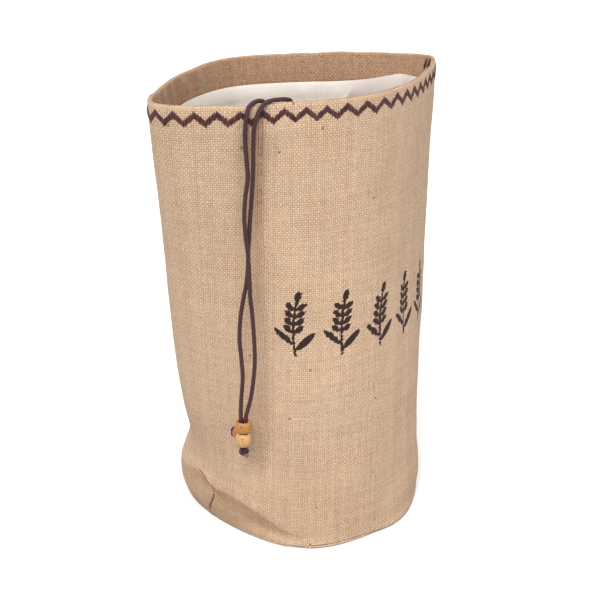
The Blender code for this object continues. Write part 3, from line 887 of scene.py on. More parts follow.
def makeBase():
    count = basePanel["columns"]
    shares = np.arange(count) / count
    foot = np.full(count, wall["foot"])
    outline = bag.lookUp(bag.loops, shares, foot)
    normal = bag.lookUp(bag.normals, shares, foot)
    along = signedAlong(shares, bag.baseGirth)
    flare = fromRows(flareRows, along, 1) - fromRows(baseEdgeRows, along, 1)
    outline = outline + normal * flare[:, None]
    edgeTop = fromRows(baseEdgeRows, along, 2)
    radius = np.minimum(basePanel["edgeRadius"], 0.5 * edgeTop)
    rows = []
    for step in range(basePanel["edgeSteps"] + 1):
        angle = 0.5 * math.pi * step / basePanel["edgeSteps"]
        inset = radius * (1 - math.sin(angle))
        rows.append(np.c_[outline - normal * inset[:, None], radius * (1 - math.cos(angle))])
    rows.append(np.c_[outline, edgeTop])
    return plainMesh(sheetFromRows("baseCloth", rows, shares, wall["thickness"], floor=True))


baseCloth = makeBase()
print("base made")

# Cotton lining
cotton = {
    "columns": 340,
    "closer": ((327.0, 16.0, 3.0),),  # along, width, extra columns
    "thickness": 0.7,
    "clearance": 2.1,
    "floor": 1.9,
    "floorInset": 17.0,
    "lowHeights": (9, 14, 20, 26, 36, 46, 56, 74, 95, 125, 160, 190, 215, 240),
    "upperHeights": (260.0, 338.0, 24),  # from, to, rows
    "wrinkle": 1.1,
    "wrinkleSizes": ((1.0, 26.0, 60.0, 3.0), (0.5, 11.0, 30.0, 7.0)),  # share, width, length, start
    "wrinkleMean": 1.2,
    "foldsFrom": (356.0, 344.0),
    "edgeFold": 0.6,
    "edgeFoldsFrom": (-1.0, -9.0),
    "puff": 4.2,
    "puffFrom": (270.0, 330.0),
    "flapAt": (331.0, 340.0),
    # painted shadow beside the lining's main fold
    "flapShadowSize": (0.75, 15.0),  # how grey, how far
    "shadeGreyParts": (
        # how dark the painted shade is, and between which places along the mouth it comes and goes
        (0.9, (200.0, 260.0), (345.0, 309.0)),
        (0.45, (-290.0, -230.0), (0.0, -60.0)),
    ),
    "foldReach": 20.0,
}
liningEdge = (
    # the top edge: height from the hem's edge and inset, lying flat; then the same where it puffs out
    (-11.0, 5.6, -11.0, 10.4), (-8.0, 5.4, -6.0, 11.0), (-5.0, 5.3, -1.0, 10.8), (-3.0, 5.2, 2.4, 9.6),
    (-1.8, 5.1, 3.9, 8.0), (-1.0, 4.9, 3.6, 6.6), (-0.4, 4.2, 1.2, 5.8), (0.1, 3.2, -1.0, 5.4),
    (1.2, 2.2, -1.6, 3.4), (3.5, 2.1, 3.5, 2.1), (9.0, 2.1, 9.0, 2.1),
)
puffRows = (
    # along, how much it puffs out
    (-345, 0.3), (-200, 0.3), (-150, 0.0), (200, 0.0), (262, 0.2), (271, 0.4), (281, 0.95), (286, 1.0),
    (296, 0.8), (306, 0.5), (318, 0.32), (345, 0.3),
)
liningRows = (
    # height, drawn in from the wall's inner face
    (9.0, 11.0), (26.0, 9.0), (56.0, 8.0), (95.0, 6.0), (190.0, 7.0), (280.0, 7.4), (318.0, 5.4),
    (345.0, 3.2), (380.0, 2.2),
)
liningCreases = (
    # points (along, height), depth inwards, half width
    (((337, 322), (333, 338), (331, 342.5), (327, 345), (324, 346.5), (318, 348.5)), 1.6, 3.6),
    (((348, 336), (341, 343), (334, 348)), 0.8, 3.0),
    (((303, 318), (298, 334), (296, 348)), 0.8, 4.0),
    (((284, 322), (284, 336), (287, 348)), 0.8, 4.0),
    (((-330, 347), (-338, 320), (-340, 290)), 0.8, 6.0),
    (((-240, 343), (-256, 330), (-282, 322)), 0.7, 4.0),
    (((-210, 345), (-232, 334), (-250, 330)), 0.6, 3.5),
)


def liningDetail(along, height):
    # folds of the lining, in mm inwards
    below = ramp(height, *cotton["foldsFrom"])
    puff = cotton["puff"] * fromRows(puffRows, along, 1) * ramp(height, *cotton["puffFrom"])
    soft = sum(
        share * softNoise(along / wide, height / tall, start)
        for share, wide, tall, start in cotton["wrinkleSizes"]
    )
    out = puff + cotton["wrinkle"] * (cotton["wrinkleMean"] + soft) * below
    for points, deep, width in liningCreases:
        best, _ = distanceToLine(points, along, height)
        out += deep * bump(best, width) * below
    return np.maximum(out, 0.0)


def liningShade(along, height):
    # for the material: distance from the main fold, below zero to its right; painted shadow beside
    # that fold; and painted shade at the right and left
    _, fold = distanceToLine(liningCreases[0][0], along, height)
    reach = cotton["foldReach"]
    flapAlong, flapHeight = cotton["flapAt"]
    share, width = cotton["flapShadowSize"]
    flapShadow = share * bump(np.hypot(along - flapAlong, height - flapHeight), width)
    shadeGrey = sum(most * ramp(along, *comes) * ramp(along, *goes) for most, comes, goes in cotton["shadeGreyParts"])
    shadeGrey = np.broadcast_to(shadeGrey, height.shape)
    return {"fold": np.clip(fold, -reach, reach), "flapShadow": flapShadow, "shadeGrey": shadeGrey}


def makeLining():
    shares = columnShares(cotton["columns"], cotton["closer"])
    along = signedAlong(shares, bag.mouthGirth)
    level = np.zeros(len(shares))
    footLoop = bag.lookUp(bag.plainFoot[None].repeat(2, axis=0), shares, level)
    rows = [np.c_[footLoop - outward(footLoop) * cotton["floorInset"], level + cotton["floor"]]]
    for height in (*cotton["lowHeights"], *np.linspace(*cotton["upperHeights"])):
        height = level + height
        inset = cotton["clearance"] + fromRows(liningRows, height, 1) + liningDetail(along, height)
        normal = bag.lookUp(bag.normals, shares, height)
        rows.append(np.c_[bag.lookUp(bag.loops, shares, height) - normal * inset[:, None], height])
    edge = wall["height"] - fromRows(hemRows, along, 1)
    puffed = fromRows(puffRows, along, 1)
    for flatRise, flatInset, puffRise, puffInset in liningEdge:
        height = edge + flatRise + (puffRise - flatRise) * puffed
        folds = liningDetail(along, height) * ramp(flatRise, *cotton["edgeFoldsFrom"])
        inset = flatInset + (puffInset - flatInset) * puffed + cotton["edgeFold"] * folds
        rows.append(bag.point(shares, height, -inset))
    rows = np.array(rows)
    item = sheetFromRows("liningCloth", rows, shares, cotton["thickness"], floor=True)
    storeValues(item, liningShade(along, rows[..., 2]))
    return plainMesh(item)


liningCloth = makeLining()
print("lining made")

# Drawcord: two strands out of the hem, over the rim and down the front
cord = {
    "diameter": 3.2,
    "step": 0.42,
    "sides": 28,
    "braidPitch": 6.4,
    "braidStrands": 5,
    "braidDepth": 0.07,
    "braidMean": 1.25,
    "braidUnder": 0.6,
    "rimHeight": 376.0,
    "lower": 0.46,
}
leftStrand = (
    (-83.2, -77.5, 366.5), (-82.4, -75.2, 366.8), (-82.0, -73.4, 368.3), (-82.3, -72.4, 371.6),
    (-83.5, -73.2, 375.2), (-85.6, -75.4, 378.0), (-88.6, -77.2, 380.0), (-91.9, -78.5, 380.9),
    (-95.2, -79.3, 380.4), (-98.2, -79.9, 378.3), (-100.6, -80.1, 374.8), (-102.6, -80.9, 370.2),
    (-103.6, -80.8, 364.0), (-103.6, -79.9, 351.4), (-103.2, -80.5, 338.5), (-102.6, -80.8, 325.8),
    (-104.3, -80.0, 312.6), (-105.7, -80.0, 298.7), (-105.7, -81.2, 283.1), (-104.7, -82.5, 267.8),
    (-104.3, -82.8, 253.0), (-103.6, -82.6, 235.0), (-102.3, -82.8, 220.8), (-101.5, -83.3, 201.6),
    (-101.3, -83.6, 182.8), (-102.6, -83.1, 166.1), (-104.8, -81.7, 148.9), (-107.0, -79.9, 138.1),
    (-108.2, -79.3, 130.2), (-108.3, -79.3, 120.0), (-108.3, -79.3, 107.4),
)
rightStrand = (
    (-64.4, -83.5, 366.7), (-63.8, -81.2, 367.0), (-63.4, -79.5, 368.6), (-63.9, -78.8, 372.2),
    (-65.8, -79.9, 376.0), (-69.0, -81.2, 378.7), (-73.2, -82.1, 380.2), (-77.8, -82.4, 380.9),
    (-82.4, -82.6, 381.0), (-86.4, -83.0, 380.4), (-89.8, -83.7, 378.6), (-92.9, -84.5, 375.0),
    (-96.3, -84.4, 369.7), (-98.3, -83.5, 361.3), (-99.0, -83.1, 348.3), (-99.4, -83.1, 335.6),
    (-99.9, -82.5, 319.2), (-100.6, -81.1, 304.1), (-101.4, -79.9, 288.1), (-102.3, -79.2, 272.7),
    (-103.0, -79.0, 258.7), (-104.2, -78.7, 245.4), (-106.5, -77.8, 233.6), (-109.2, -77.1, 217.8),
    (-110.4, -77.0, 199.0), (-109.6, -77.8, 183.1), (-109.2, -78.2, 167.7), (-110.6, -77.4, 148.1),
    (-111.0, -77.2, 138.1), (-111.15, -77.3, 130.2), (-111.15, -77.3, 120.45),
)
sideStem = (
    (-112.1, -78.7, 118.55), (-111.0, -77.1, 118.6), (-109.2, -74.5, 118.8), (-107.5, -72.2, 118.2),
    (-106.3, -70.4, 116.7), (-105.6, -68.7, 115.2), (-105.5, -66.2, 113.9), (-105.6, -62.7, 112.5),
    (-105.7, -59.0, 111.1),
)


def braid(along, around):
    # height of the braid: strands run round both ways and cross over and under
    turn = fullTurn * along / cord["braidPitch"]
    spin = cord["braidStrands"] * around
    over = (1.0 - cord["braidUnder"]) * (0.5 + 0.5 * np.sin(2 * turn))
    right = np.cos(0.5 * (spin - turn)) ** 2 * (cord["braidUnder"] + over)
    left = np.cos(0.5 * (spin + turn)) ** 2 * (1.0 - over)
    return cord["braidDepth"] * (2.0 * np.maximum(right, left) - cord["braidMean"])


def route(points, count=None):
    # a smooth curve through points, in even steps
    curve = smoothCurve(points, False)
    return spaced(curve, count or round(curveLength(curve) / cord["step"]))


def makeStrand(name, points):
    # over the rim the strands lie close to it
    points = np.array(points)
    points[:, 2] -= np.maximum(points[:, 2] - cord["rimHeight"], 0.0) * cord["lower"]
    path = route(points)
    return braidedTube(name, path, 0.5 * cord["diameter"], cord["sides"]), path


cordLeft, leftPath = makeStrand("cordLeft", leftStrand)
cordRight, rightPath = makeStrand("cordRight", rightStrand)
print("cord strands: %.0f and %.0f mm" % (curveLength(leftPath), curveLength(rightPath)))

# Beads, turned
bead = {
    "boreRadius": 3.75,
    "edge": 0.7,
    "segments": 72,
    "sideSteps": 26,
    "edgeSteps": 4,
}
beadRows = {
    # centre, axis, radius, end radius, half length, how square
    "beadTop": ((-109.7, -78.3, 126.1), (0.0, 0.0, 1.0), 6.55, 5.5, 4.7, 4.4),
    "beadLower": ((-109.7, -78.3, 114.6), (0.0, 0.0, 1.0), 6.3, 4.7, 5.65, 3.0),
    "beadSide": ((-105.5, -66.3, 113.0), (-0.03, 0.94, -0.34), 6.3, 4.7, 4.6, 2.5),
}


def beadOutline(radius, endRadius, half, squareness):
    # radius and height, down the outer side and up the bore
    edge, bore = bead["edge"], bead["boreRadius"]
    sideHalf = half - edge
    outline = []
    for step in range(bead["sideSteps"] + 1):
        share = 1.0 - 2.0 * step / bead["sideSteps"]
        bulge = 1.0 - abs(share) ** squareness
        outline.append((endRadius + (radius - endRadius) * bulge, share * sideHalf))
    rim = 0.5 * (bore + endRadius)
    turns = [0.5 * math.pi * (step + 1) / bead["edgeSteps"] for step in range(bead["edgeSteps"])]
    turnedIn = [(rim + (endRadius - rim) * math.cos(a), -sideHalf - edge * math.sin(a)) for a in turns]
    turnedIn += [(bore + (rim - bore) * (1 - math.sin(a)), -half + edge * (1 - math.cos(a))) for a in turns]
    return outline + turnedIn + [(r, -z) for r, z in reversed(turnedIn)]


def makeBead(name):
    centre, axis, *sizes = beadRows[name]
    outline = beadOutline(*sizes)
    outline.append(outline[0])
    turn = Vector((0.0, 0.0, 1.0)).rotation_difference(Vector(axis).normalized())
    count = bead["segments"]
    vertices = []
    for radius, height in outline:
        for angle in fullTurn * np.arange(count) / count:
            place = Vector((radius * math.cos(angle), radius * math.sin(angle), height))
            vertices.append(Vector(centre) + turn @ place)
    return recalculated(newPiece(name, vertices, bandFaces(len(outline), count)[0]))


beads = {name: makeBead(name) for name in beadRows}
print("beads turned")

# Knots that stop the beads
knot = {
    "lowerCentre": (-109.7, -78.3, 104.0),
    "towards": (-0.514, -0.762, 0.25),
    "right": (0.829, -0.559, 0.0),
    "lowerUp": (0.25, -0.1, 1.0),
    "lowerRise": (0, 0, 0.1),
    "sideFacing": (-0.7, -0.25, 0.3),
    "sideFromBead": 8.3,
    "loopRadius": 1.25,
    "loopSteps": 149,
    "spread": 1.02,
    "rise": 1.45,
    "endRadius": 1.5,
    "sides": 20,
    "stemSides": 24,
    "neckSteps": 12,
    "stubSteps": 26,
}
neckPlaces = ((1.4, -1.0, 4.6), (1.2, -0.9, 2.6), (0.4, 0.2, 1.0))
stubPlaces = (
    # to the right, towards the camera, up
    (0, 0, 0), (1.3, 0.9, -2.2), (2.0, 2.4, -3.1), (2.3, 4.3, -3.3),
)


def joined(name, items):
    # several meshes as one piece
    shape = bmesh.new()
    for item in items:
        shape.from_mesh(item.data)
    data = bpy.data.meshes.new(name)
    shape.to_mesh(data)
    shape.free()
    for item in items:
        old = item.data
        bpy.data.objects.remove(item, do_unlink=True)
        bpy.data.meshes.remove(old)
    return placed(name, data)


def knotLoop(name, centre, facing, up):
    # a trefoil drawn tight, seen along facing
    t = np.linspace(0.0, fullTurn, knot["loopSteps"] + 1)
    out = knot["spread"] * (2 + np.cos(3 * t))
    facing = Vector(facing).normalized()
    side = Vector(up).cross(facing).normalized()
    path = np.array(centre) + np.outer(out * np.cos(2 * t), side)
    path = path + np.outer(out * np.sin(2 * t), facing.cross(side))
    path = path + np.outer(knot["rise"] * np.sin(3 * t), facing)
    return braidedTube(name, path, knot["loopRadius"], knot["sides"])


def makeLowerKnot():
    centre = np.array(knot["lowerCentre"])
    towards, right = np.array(knot["towards"]), np.array(knot["right"])
    loop = knotLoop("knotLoop", centre + knot["lowerRise"], towards, knot["lowerUp"])
    neckPath = route([centre + place for place in neckPlaces], knot["neckSteps"])
    neck = braidedTube("neck", neckPath, knot["endRadius"], knot["sides"])
    stubPoints = [centre + right * a + towards * b + (0, 0, c) for a, b, c in stubPlaces]
    stubPath = route(stubPoints, knot["stubSteps"])
    stub = braidedTube("stub", stubPath, knot["endRadius"], knot["sides"])
    # the stub's cut end has the second material
    stub.data.polygons[-1].material_index = 1
    return joined("knotLower", [loop, neck, stub])


def makeSideKnot():
    beadCentre, axis, *_ = beadRows["beadSide"]
    centre = beadCentre + np.array(axis) * knot["sideFromBead"]
    loop = knotLoop("sideLoop", centre, knot["sideFacing"], axis)
    stem = braidedTube("stem", route(sideStem), 0.5 * cord["diameter"], knot["stemSides"])
    return joined("knotSide", [loop, stem])


knotLower = makeLowerKnot()
knotSide = makeSideKnot()
print("knots tied")


# Zigzag sewing below the rim, each thread laid by Geometry Nodes
def stitchPlaces():
    # middle and outward direction of every stitch; the last ones show inside the right corner
    tipPlaces, tips = np.array(zigzagTips).T
    perLeg = zigzag["stitchesPerLeg"]
    count = int(tips[-1] - tips[0]) * perLeg
    along = np.interp(tips[0] + np.arange(count) / perLeg, tips, tipPlaces)
    share = along / bag.mouthGirth
    height = zigzagHeight(along)
    middle = bag.point(share, height, clothDetail(share, height) + zigzag["lift"])
    middle[:, 2] += rimShift(share, height)
    strokes = [np.linspace(*ends, zigzag["strokeStitches"]) for ends in np.array(insideStrokes)]
    strokeAlong, strokeHeight = np.concatenate(strokes).T
    strokeShare = strokeAlong / bag.mouthGirth
    strokeMiddle = bag.point(strokeShare, strokeHeight, -hemInset(strokeHeight) - zigzag["lift"])
    normal = bag.lookUp(bag.normals, share, height)
    strokeNormal = -bag.lookUp(bag.normals, strokeShare, strokeHeight)
    normals = np.vstack([normal, strokeNormal])
    return np.vstack([middle, strokeMiddle]), np.c_[normals, np.zeros(len(normals))]


def stitchTree():
    # inputs: points, length and radius of a thread, how far its ends dive, seed, material
    tree = bpy.data.node_groups.new("stitches", "GeometryNodeTree")
    for name, kind in (
        ("Geometry", "Geometry"), ("Length", "Float"), ("Radius", "Float"), ("Dive", "Float"),
        ("Seed", "Int"), ("Material", "Material"),
    ):
        tree.interface.new_socket(name, in_out="INPUT", socket_type="NodeSocket" + kind)
    tree.interface.new_socket("Geometry", in_out="OUTPUT", socket_type="NodeSocketGeometry")
    given = {socket.name: Field(tree, socket) for socket in tree.nodes.new("NodeGroupInput").outputs}

    def node(kind, inputs, output=0, **settings):
        return addNode(tree, kind, settings, inputs, output)

    def point(y, z):
        return node("ShaderNodeCombineXYZ", {0: 0.0, 1: y, 2: z})

    half, dive, seed = given["Length"] * 0.5, given["Dive"], given["Seed"]
    along, around = zigzag["resolution"]
    curve = node("GeometryNodeCurveQuadraticBezier", {
        "Resolution": along, "Start": point(-half, -dive),
        "Middle": point(0.0, dive), "End": point(half, -dive),
    })
    ring = node("GeometryNodeCurvePrimitiveCircle", {
        "Resolution": around, "Radius": given["Radius"],
    }, mode="RADIUS")
    thread = node("GeometryNodeCurveToMesh", {"Curve": curve, "Profile Curve": ring, "Fill Caps": True})
    outwards = node("GeometryNodeInputNamedAttribute", {"Name": "outwards"}, data_type="FLOAT_VECTOR")
    upright = node("FunctionNodeAlignRotationToVector", {"Vector": (0.0, 0.0, 1.0)}, axis="Y")
    facing = node("FunctionNodeAlignRotationToVector", {
        "Rotation": upright, "Vector": outwards,
    }, axis="Z", pivot_axis="Y")
    lean = node("FunctionNodeRandomValue", {
        2: -zigzag["lean"], 3: zigzag["lean"], "Seed": seed,
    }, 1, data_type="FLOAT")
    turn = node("FunctionNodeAxisAngleToRotation", {"Axis": (0.0, 0.0, 1.0), "Angle": lean})
    leaned = node("FunctionNodeRotateRotation", {0: facing, 1: turn}, rotation_space="LOCAL")
    size = node("FunctionNodeRandomValue", {
        0: zigzag["smallest"], 1: zigzag["largest"], "Seed": seed + zigzag["sizeSeed"],
    }, data_type="FLOAT_VECTOR")
    laid = node("GeometryNodeInstanceOnPoints", {
        "Points": given["Geometry"], "Instance": thread, "Rotation": leaned, "Scale": size,
    })
    tone = node("FunctionNodeRandomValue", {
        2: 0.0, 3: 1.0, "Seed": seed + zigzag["toneSeed"],
    }, 1, data_type="FLOAT")
    toned = node("GeometryNodeStoreNamedAttribute", {
        "Geometry": laid, "Name": "tone", "Value": tone,
    }, data_type="FLOAT", domain="INSTANCE")
    real = node("GeometryNodeRealizeInstances", {0: toned})
    smooth = node("GeometryNodeSetShadeSmooth", {0: real})
    painted = node("GeometryNodeSetMaterial", {0: smooth, "Material": given["Material"]})
    tree.links.new(painted.socket, tree.nodes.new("NodeGroupOutput").inputs[0])
    return tree


def makeStitches(material):
    middles, normals = stitchPlaces()
    item = newPiece("zigzagThreads", middles, [])
    outwards = item.data.attributes.new("outwards", "FLOAT_VECTOR", "POINT")
    outwards.data.foreach_set("vector", normals.ravel())
    tree = stitchTree()
    modifier = item.modifiers.new("stitches", "NODES")
    modifier.node_group = tree
    ids = {s.name: s.identifier for s in tree.interface.items_tree if s.in_out == "INPUT"}
    for key, value in zigzag["sizes"].items():
        modifier[ids[key]] = value * mm
    modifier[ids["Seed"]] = zigzag["seed"]
    modifier[ids["Material"]] = material
    return plainMesh(item)


threadLook = {
    "dark": shade(45, 19, 18),
    "light": shade(101, 58, 55),
    "fibreScale": 2600.0,
    "varied": (-0.1, 0.9, 0.3),  # steadily, by thread, by fibre
    "relief": 0.1 * mm,
}


def threadPaint():
    paint = Paint("sewing thread")
    fibre = paint.noiseAt(paint.place(), threadLook["fibreScale"], 2.0)
    steady, byThread, byFibre = threadLook["varied"]
    lightness = paint.attribute("tone") * byThread + fibre * byFibre + steady
    colour = paint.mix(lightness, threadLook["dark"], threadLook["light"])
    normal = paint.bump(fibre, threadLook["relief"], 0.6)
    return paint.finish(colour, normal, Roughness=0.5, Specular_IOR_Level=0.4)


zigzagThreads = makeStitches(threadPaint())
print("zigzag: %d faces" % len(zigzagThreads.data.polygons))

# Hessian cloth and its print
weaveSizes = {
    "warpPitch": 1.56 * mm,
    "weftPitch": 1.72 * mm,
    "wander": 1.5,
    "wanderScales": (110.0, 45.0),
    "slubScales": (3.7, 110.0),
    "streakScales": (2600.0, 420.0),
    "threadWidth": 0.47,
    "widthChange": 0.12,
    "crossing": 0.46,
    "lift": 0.26,
    "arch": 0.28,
    "firstWeft": 900.0,
    "streakRelief": 0.12,
    "relief": 0.42 * mm,
}
hessianColours = {
    # top, middle and gap follow the weave's height: painted light on the thread tops, painted shade in the
    # gaps
    "top": shade(221, 190, 160),
    "middle": shade(163, 125, 97),
    "gap": shade(104, 68, 50),
    "fleck": shade(120, 78, 54),
    # painted shadow in the low fold's creases
    "creaseShadow": shade(92, 56, 42),
    "ink": shade(41, 24, 27),
}
hessianTints = (
    # for red, green and blue: how strongly threads vary, how much redder the hem's inside is, how much
    # painted shade takes away outside and on the hem, how much painted shade darkens the seam's valley
    (0.85, 0.00, 0.05, 0.14, 0.07),
    (1.05, 0.12, 0.20, 0.26, 0.14),
    (1.20, 0.18, 0.36, 0.24, 0.17),
)
hessianLook = {
    # shares of light, heights in mm up the cloth, and places in mm along it
    "light": 0.66,
    # warp on top lighter than weft on top: painted light, the two facing the light differently
    "varied": (0.1, 0.24, 0.2, 0.18, 0.18),  # by thread, streak, patch, crossing, and warp on top
    "variedInside": (-0.08, 0.1, 0.06),  # steadily, by crossing, and warp on top
    "patchScales": (30.0, 22.0),
    "middleAt": (0.45, 0.98),
    "gapAt": (0.05, 0.62),
    "creaseShadowAt": (0.05, 0.55),
    "inkAt": (0.2, 0.55),
    "inkShares": (0.92, 0.08),  # steadily, by streak
    "creaseShadowShare": 0.95,
    "hemInside": (375.2, 377.2),
    "hemRed": (377.8, 380.4),
    # painted shade on the hem's inner face: all round, and more at the left
    "hemShadow": (0.35, 0.05),  # all round, and more at the left
    "hemShadowLeft": (400.0, 240.0),
    "footShade": 0.125,
    "footShadeFrom": (130.0, 14.0),
    "seamValleyShade": (4.5, 2.0),
    "seamValleyShadeFrom": (200.0, 290.0),
    "seamLineAt": 1.3,
    "seamLineHalf": 0.45,
    "seamLineFrom": (270.0, 310.0),
    "seamLineShare": 0.5,
    "dashScales": (40.0, 260.0),
    "dashAt": (0.35, 0.6),
    "fleckAbove": 0.9994,
    "fleckShare": 0.75,
}
ears = {
    "left": 8.0,
    "cell": 38.0,
    "count": 5,
    "middleHeight": 207.0,
    "slope": -0.077,
    "wider": 1.28,
    "middle": 0.42,
    "bend": 0.003,
    "bendFrom": -4.0,
    "bendShift": 1.0,
    "stem": (0.95, -27.0, 19.0),  # half width, from, to
    "grains": (-7.2, 17.6, 6.2, 1.0),  # from, to, pitch, shift
    "grain": (3.5, 0.0, 2.0, 4.2, -30.0),  # an ellipse: its middle, half width and height, turn
    "tipAndLeaves": (
        (0.0, 22.8, 2.1, 4.6, 0.0), (6.9, -14.5, 2.4, 9.4, -38.0), (-6.2, -11.0, 2.2, 8.4, 40.0),
    ),
    "jitter": 1.3,
    "jitterUp": 0.7,
}


def weave(paint, u, v):
    # plain weave: its height from 0 to 1, the tone and streaks of the thread on top, the numbers of
    # the warp and weft threads, and whether the warp is on top
    sizes = weaveSizes
    quick, slow = sizes["wanderScales"]
    wanderU = paint.noise(u * quick, v * slow, detail=2.0) - 0.5
    wanderV = paint.noise(u * slow, v * quick, 5.0, detail=2.0) - 0.5
    a = u / sizes["warpPitch"] + wanderU * sizes["wander"]
    b = v / sizes["weftPitch"] + wanderV * sizes["wander"]
    warp, weft = a.floor(), b.floor()
    warpTone, weftTone = paint.chance(warp), paint.chance(weft + sizes["firstWeft"])
    byThread, along = sizes["slubScales"]
    warpSlub = paint.noise(warp * byThread, v * along) - 0.5
    weftSlub = paint.noise(u * along, weft * byThread, 9.0) - 0.5

    def thread(across, tone, slub, lift):
        # height of one thread, 0 beside it
        width = sizes["threadWidth"] + sizes["widthChange"] * ((tone - 0.5) + slub * 2.0)
        arch = (1.0 - (across / width) ** 2.0).root()
        return (sizes["crossing"] + sizes["lift"] * lift + sizes["arch"] * arch) * (arch > 0.01)

    warpHeight = thread(a - warp - 0.5, warpTone, warpSlub, ((b + warp) * math.pi).sine())
    weftHeight = thread(b - weft - 0.5, weftTone, weftSlub, -((a + weft) * math.pi).sine())
    onWarp = warpHeight > weftHeight
    fine, long = sizes["streakScales"]
    streak = paint.choose(onWarp, paint.noise(u * long, v * fine, 2.0), paint.noise(u * fine, v * long))
    tone = paint.choose(onWarp, weftTone, warpTone)
    return warpHeight.over(weftHeight), tone, streak, warp, weft, onWarp


def ellipse(x, y, centreX, centreY, halfWidth, halfHeight, turn):
    # 1 inside an ellipse, sizes in mm
    c, s = math.cos(math.radians(turn)), math.sin(math.radians(turn))
    dx, dy = x - centreX, y - centreY
    across = (dx * c + dy * s) / halfWidth
    upward = (dy * c - dx * s) / halfHeight
    return (across * across + upward * upward) < 1.0


def earsOfWheat(u, v, jitter):
    # a row of ears of wheat, 1 where there is ink
    fromLeft = u / mm - ears["left"]
    x = fromLeft + jitter
    y = v / mm - (fromLeft * ears["slope"] + ears["middleHeight"]) + jitter * ears["jitterUp"]
    row = (x > 0.0) * (x < ears["cell"] * ears["count"])
    across = (x.wrapped(ears["cell"]) - ears["middle"] * ears["cell"]) / ears["wider"]
    above = y - ears["bendFrom"]
    bent = across - above * above * ears["bend"] + ears["bendShift"]
    side = abs(bent)
    half, low, high = ears["stem"]
    ink = (side < half) * (y > low) * (y < high)
    low, high, pitch, shift = ears["grains"]
    grains = ellipse(side, (y + shift).wrapped(pitch) - 0.5 * pitch, *ears["grain"])
    ink = ink.over(grains * (y > low) * (y < high))
    for part in ears["tipAndLeaves"]:
        ink = ink.over(ellipse(bent, y, *part))
    return ink * row


def hessianPaint(name, printed):
    paint = Paint(name)
    look, colours = hessianLook, hessianColours
    u, v = paint.uv("cloth")
    high = v / mm
    height, tone, streak, warp, weft, onWarp = weave(paint, u, v)
    # painted light on the thread tops and painted shade in the gaps between them
    body = paint.mix(height.soft(*look["middleAt"]), colours["middle"], colours["top"])
    colour = paint.mix(height.soft(*look["gapAt"]), colours["gap"], body)
    wide, tall = look["patchScales"]
    patch = paint.noise(u * wide, v * tall, detail=3.0, roughness=0.6) - 0.5
    crossing = paint.chanceOfPair(warp + 0.3, weft + 0.6)
    inner = high.soft(*look["hemInside"])
    steady, byCrossing, byWarp = look["variedInside"]
    bright = look["light"] + inner * (steady + byCrossing * crossing + byWarp * onWarp)
    for share, part in zip(look["varied"], (tone, streak, patch, crossing, onWarp)):
        bright = bright + share * part
    # painted shade: darker towards the foot
    bright = bright * (1.0 - look["footShade"] * high.soft(*look["footShadeFrom"]))
    half = 0.5 * wall["clothWidth"]
    fromSeam = abs((u / mm - hessian["seamAt"] + half).wrapped(2.0 * half) - half)
    # painted shade in the seam's valley
    seam = fromSeam.soft(*look["seamValleyShade"]) * high.soft(*look["seamValleyShadeFrom"])
    # painted shade: the hem's inner face darker than the outside, more at the left
    allDark, leftDark = look["hemShadow"]
    lit = 1.0 - inner * (allDark + (u / mm).soft(*look["hemShadowLeft"]) * leftDark)
    red = high.soft(*look["hemRed"])
    # painted shade below the low fold and between the hem's puckers, and painted highlight on the puckers
    paintedShade = paint.attribute("paintedShade")
    tint = []
    for power, redder, shadeOutside, shadeOnHem, valleyShade in hessianTints:
        share = bright ** power * lit * (1.0 - red * redder) * (1.0 - seam * valleyShade)
        tint.append(share * (1.0 - paintedShade * (shadeOutside + inner * (shadeOnHem - shadeOutside))))
    tint = paint.add("ShaderNodeCombineColor", {}, dict(enumerate(tint)))
    colour = paint.mix(1.0, colour, tint, "MULTIPLY")
    fleck = paint.chanceOfPair(warp, weft) > look["fleckAbove"]
    colour = paint.mix(fleck * look["fleckShare"], colour, colours["fleck"])
    # painted shadow along the pinched creases of the low fold
    creaseShadow = paint.attribute("creaseShadow").soft(*look["creaseShadowAt"])
    colour = paint.mix(creaseShadow * look["creaseShadowShare"], colour, colours["creaseShadow"])
    wide, tall = look["dashScales"]
    dashes = paint.noise(u * wide, v * tall).soft(*look["dashAt"]) * high.soft(*look["seamLineFrom"])
    seamLine = (abs(fromSeam - look["seamLineAt"]) < look["seamLineHalf"]) * dashes
    colour = paint.mix(seamLine * look["seamLineShare"], colour, colours["gap"])
    if printed:
        ink = earsOfWheat(u, v, (tone - 0.5) * ears["jitter"]) * height.soft(*look["inkAt"])
        steady, byStreak = look["inkShares"]
        colour = paint.mix(ink * (steady + byStreak * streak), colour, colours["ink"])
    normal = paint.bump(height + streak * weaveSizes["streakRelief"], weaveSizes["relief"])
    return paint.finish(colour, normal, Roughness=0.95, Specular_IOR_Level=0.12, Sheen_Weight=0.06)


cottonLook = {
    "dark": shade(216, 208, 199),
    "light": shade(233, 227, 219),
    # colour of the painted shade on the lining
    "shadeGrey": shade(154, 135, 134),
    "shadeGreyShare": 0.42,
    "besideFold": (1.0, -1.4),
    "crumpleScales": (55.0, 30.0),
    "crumpleShare": 1.2,
    "crumpleMost": 0.3,
    "fineScale": 1500.0,
    "fineRelief": 0.02,
    "relief": 2.2 * mm,
}


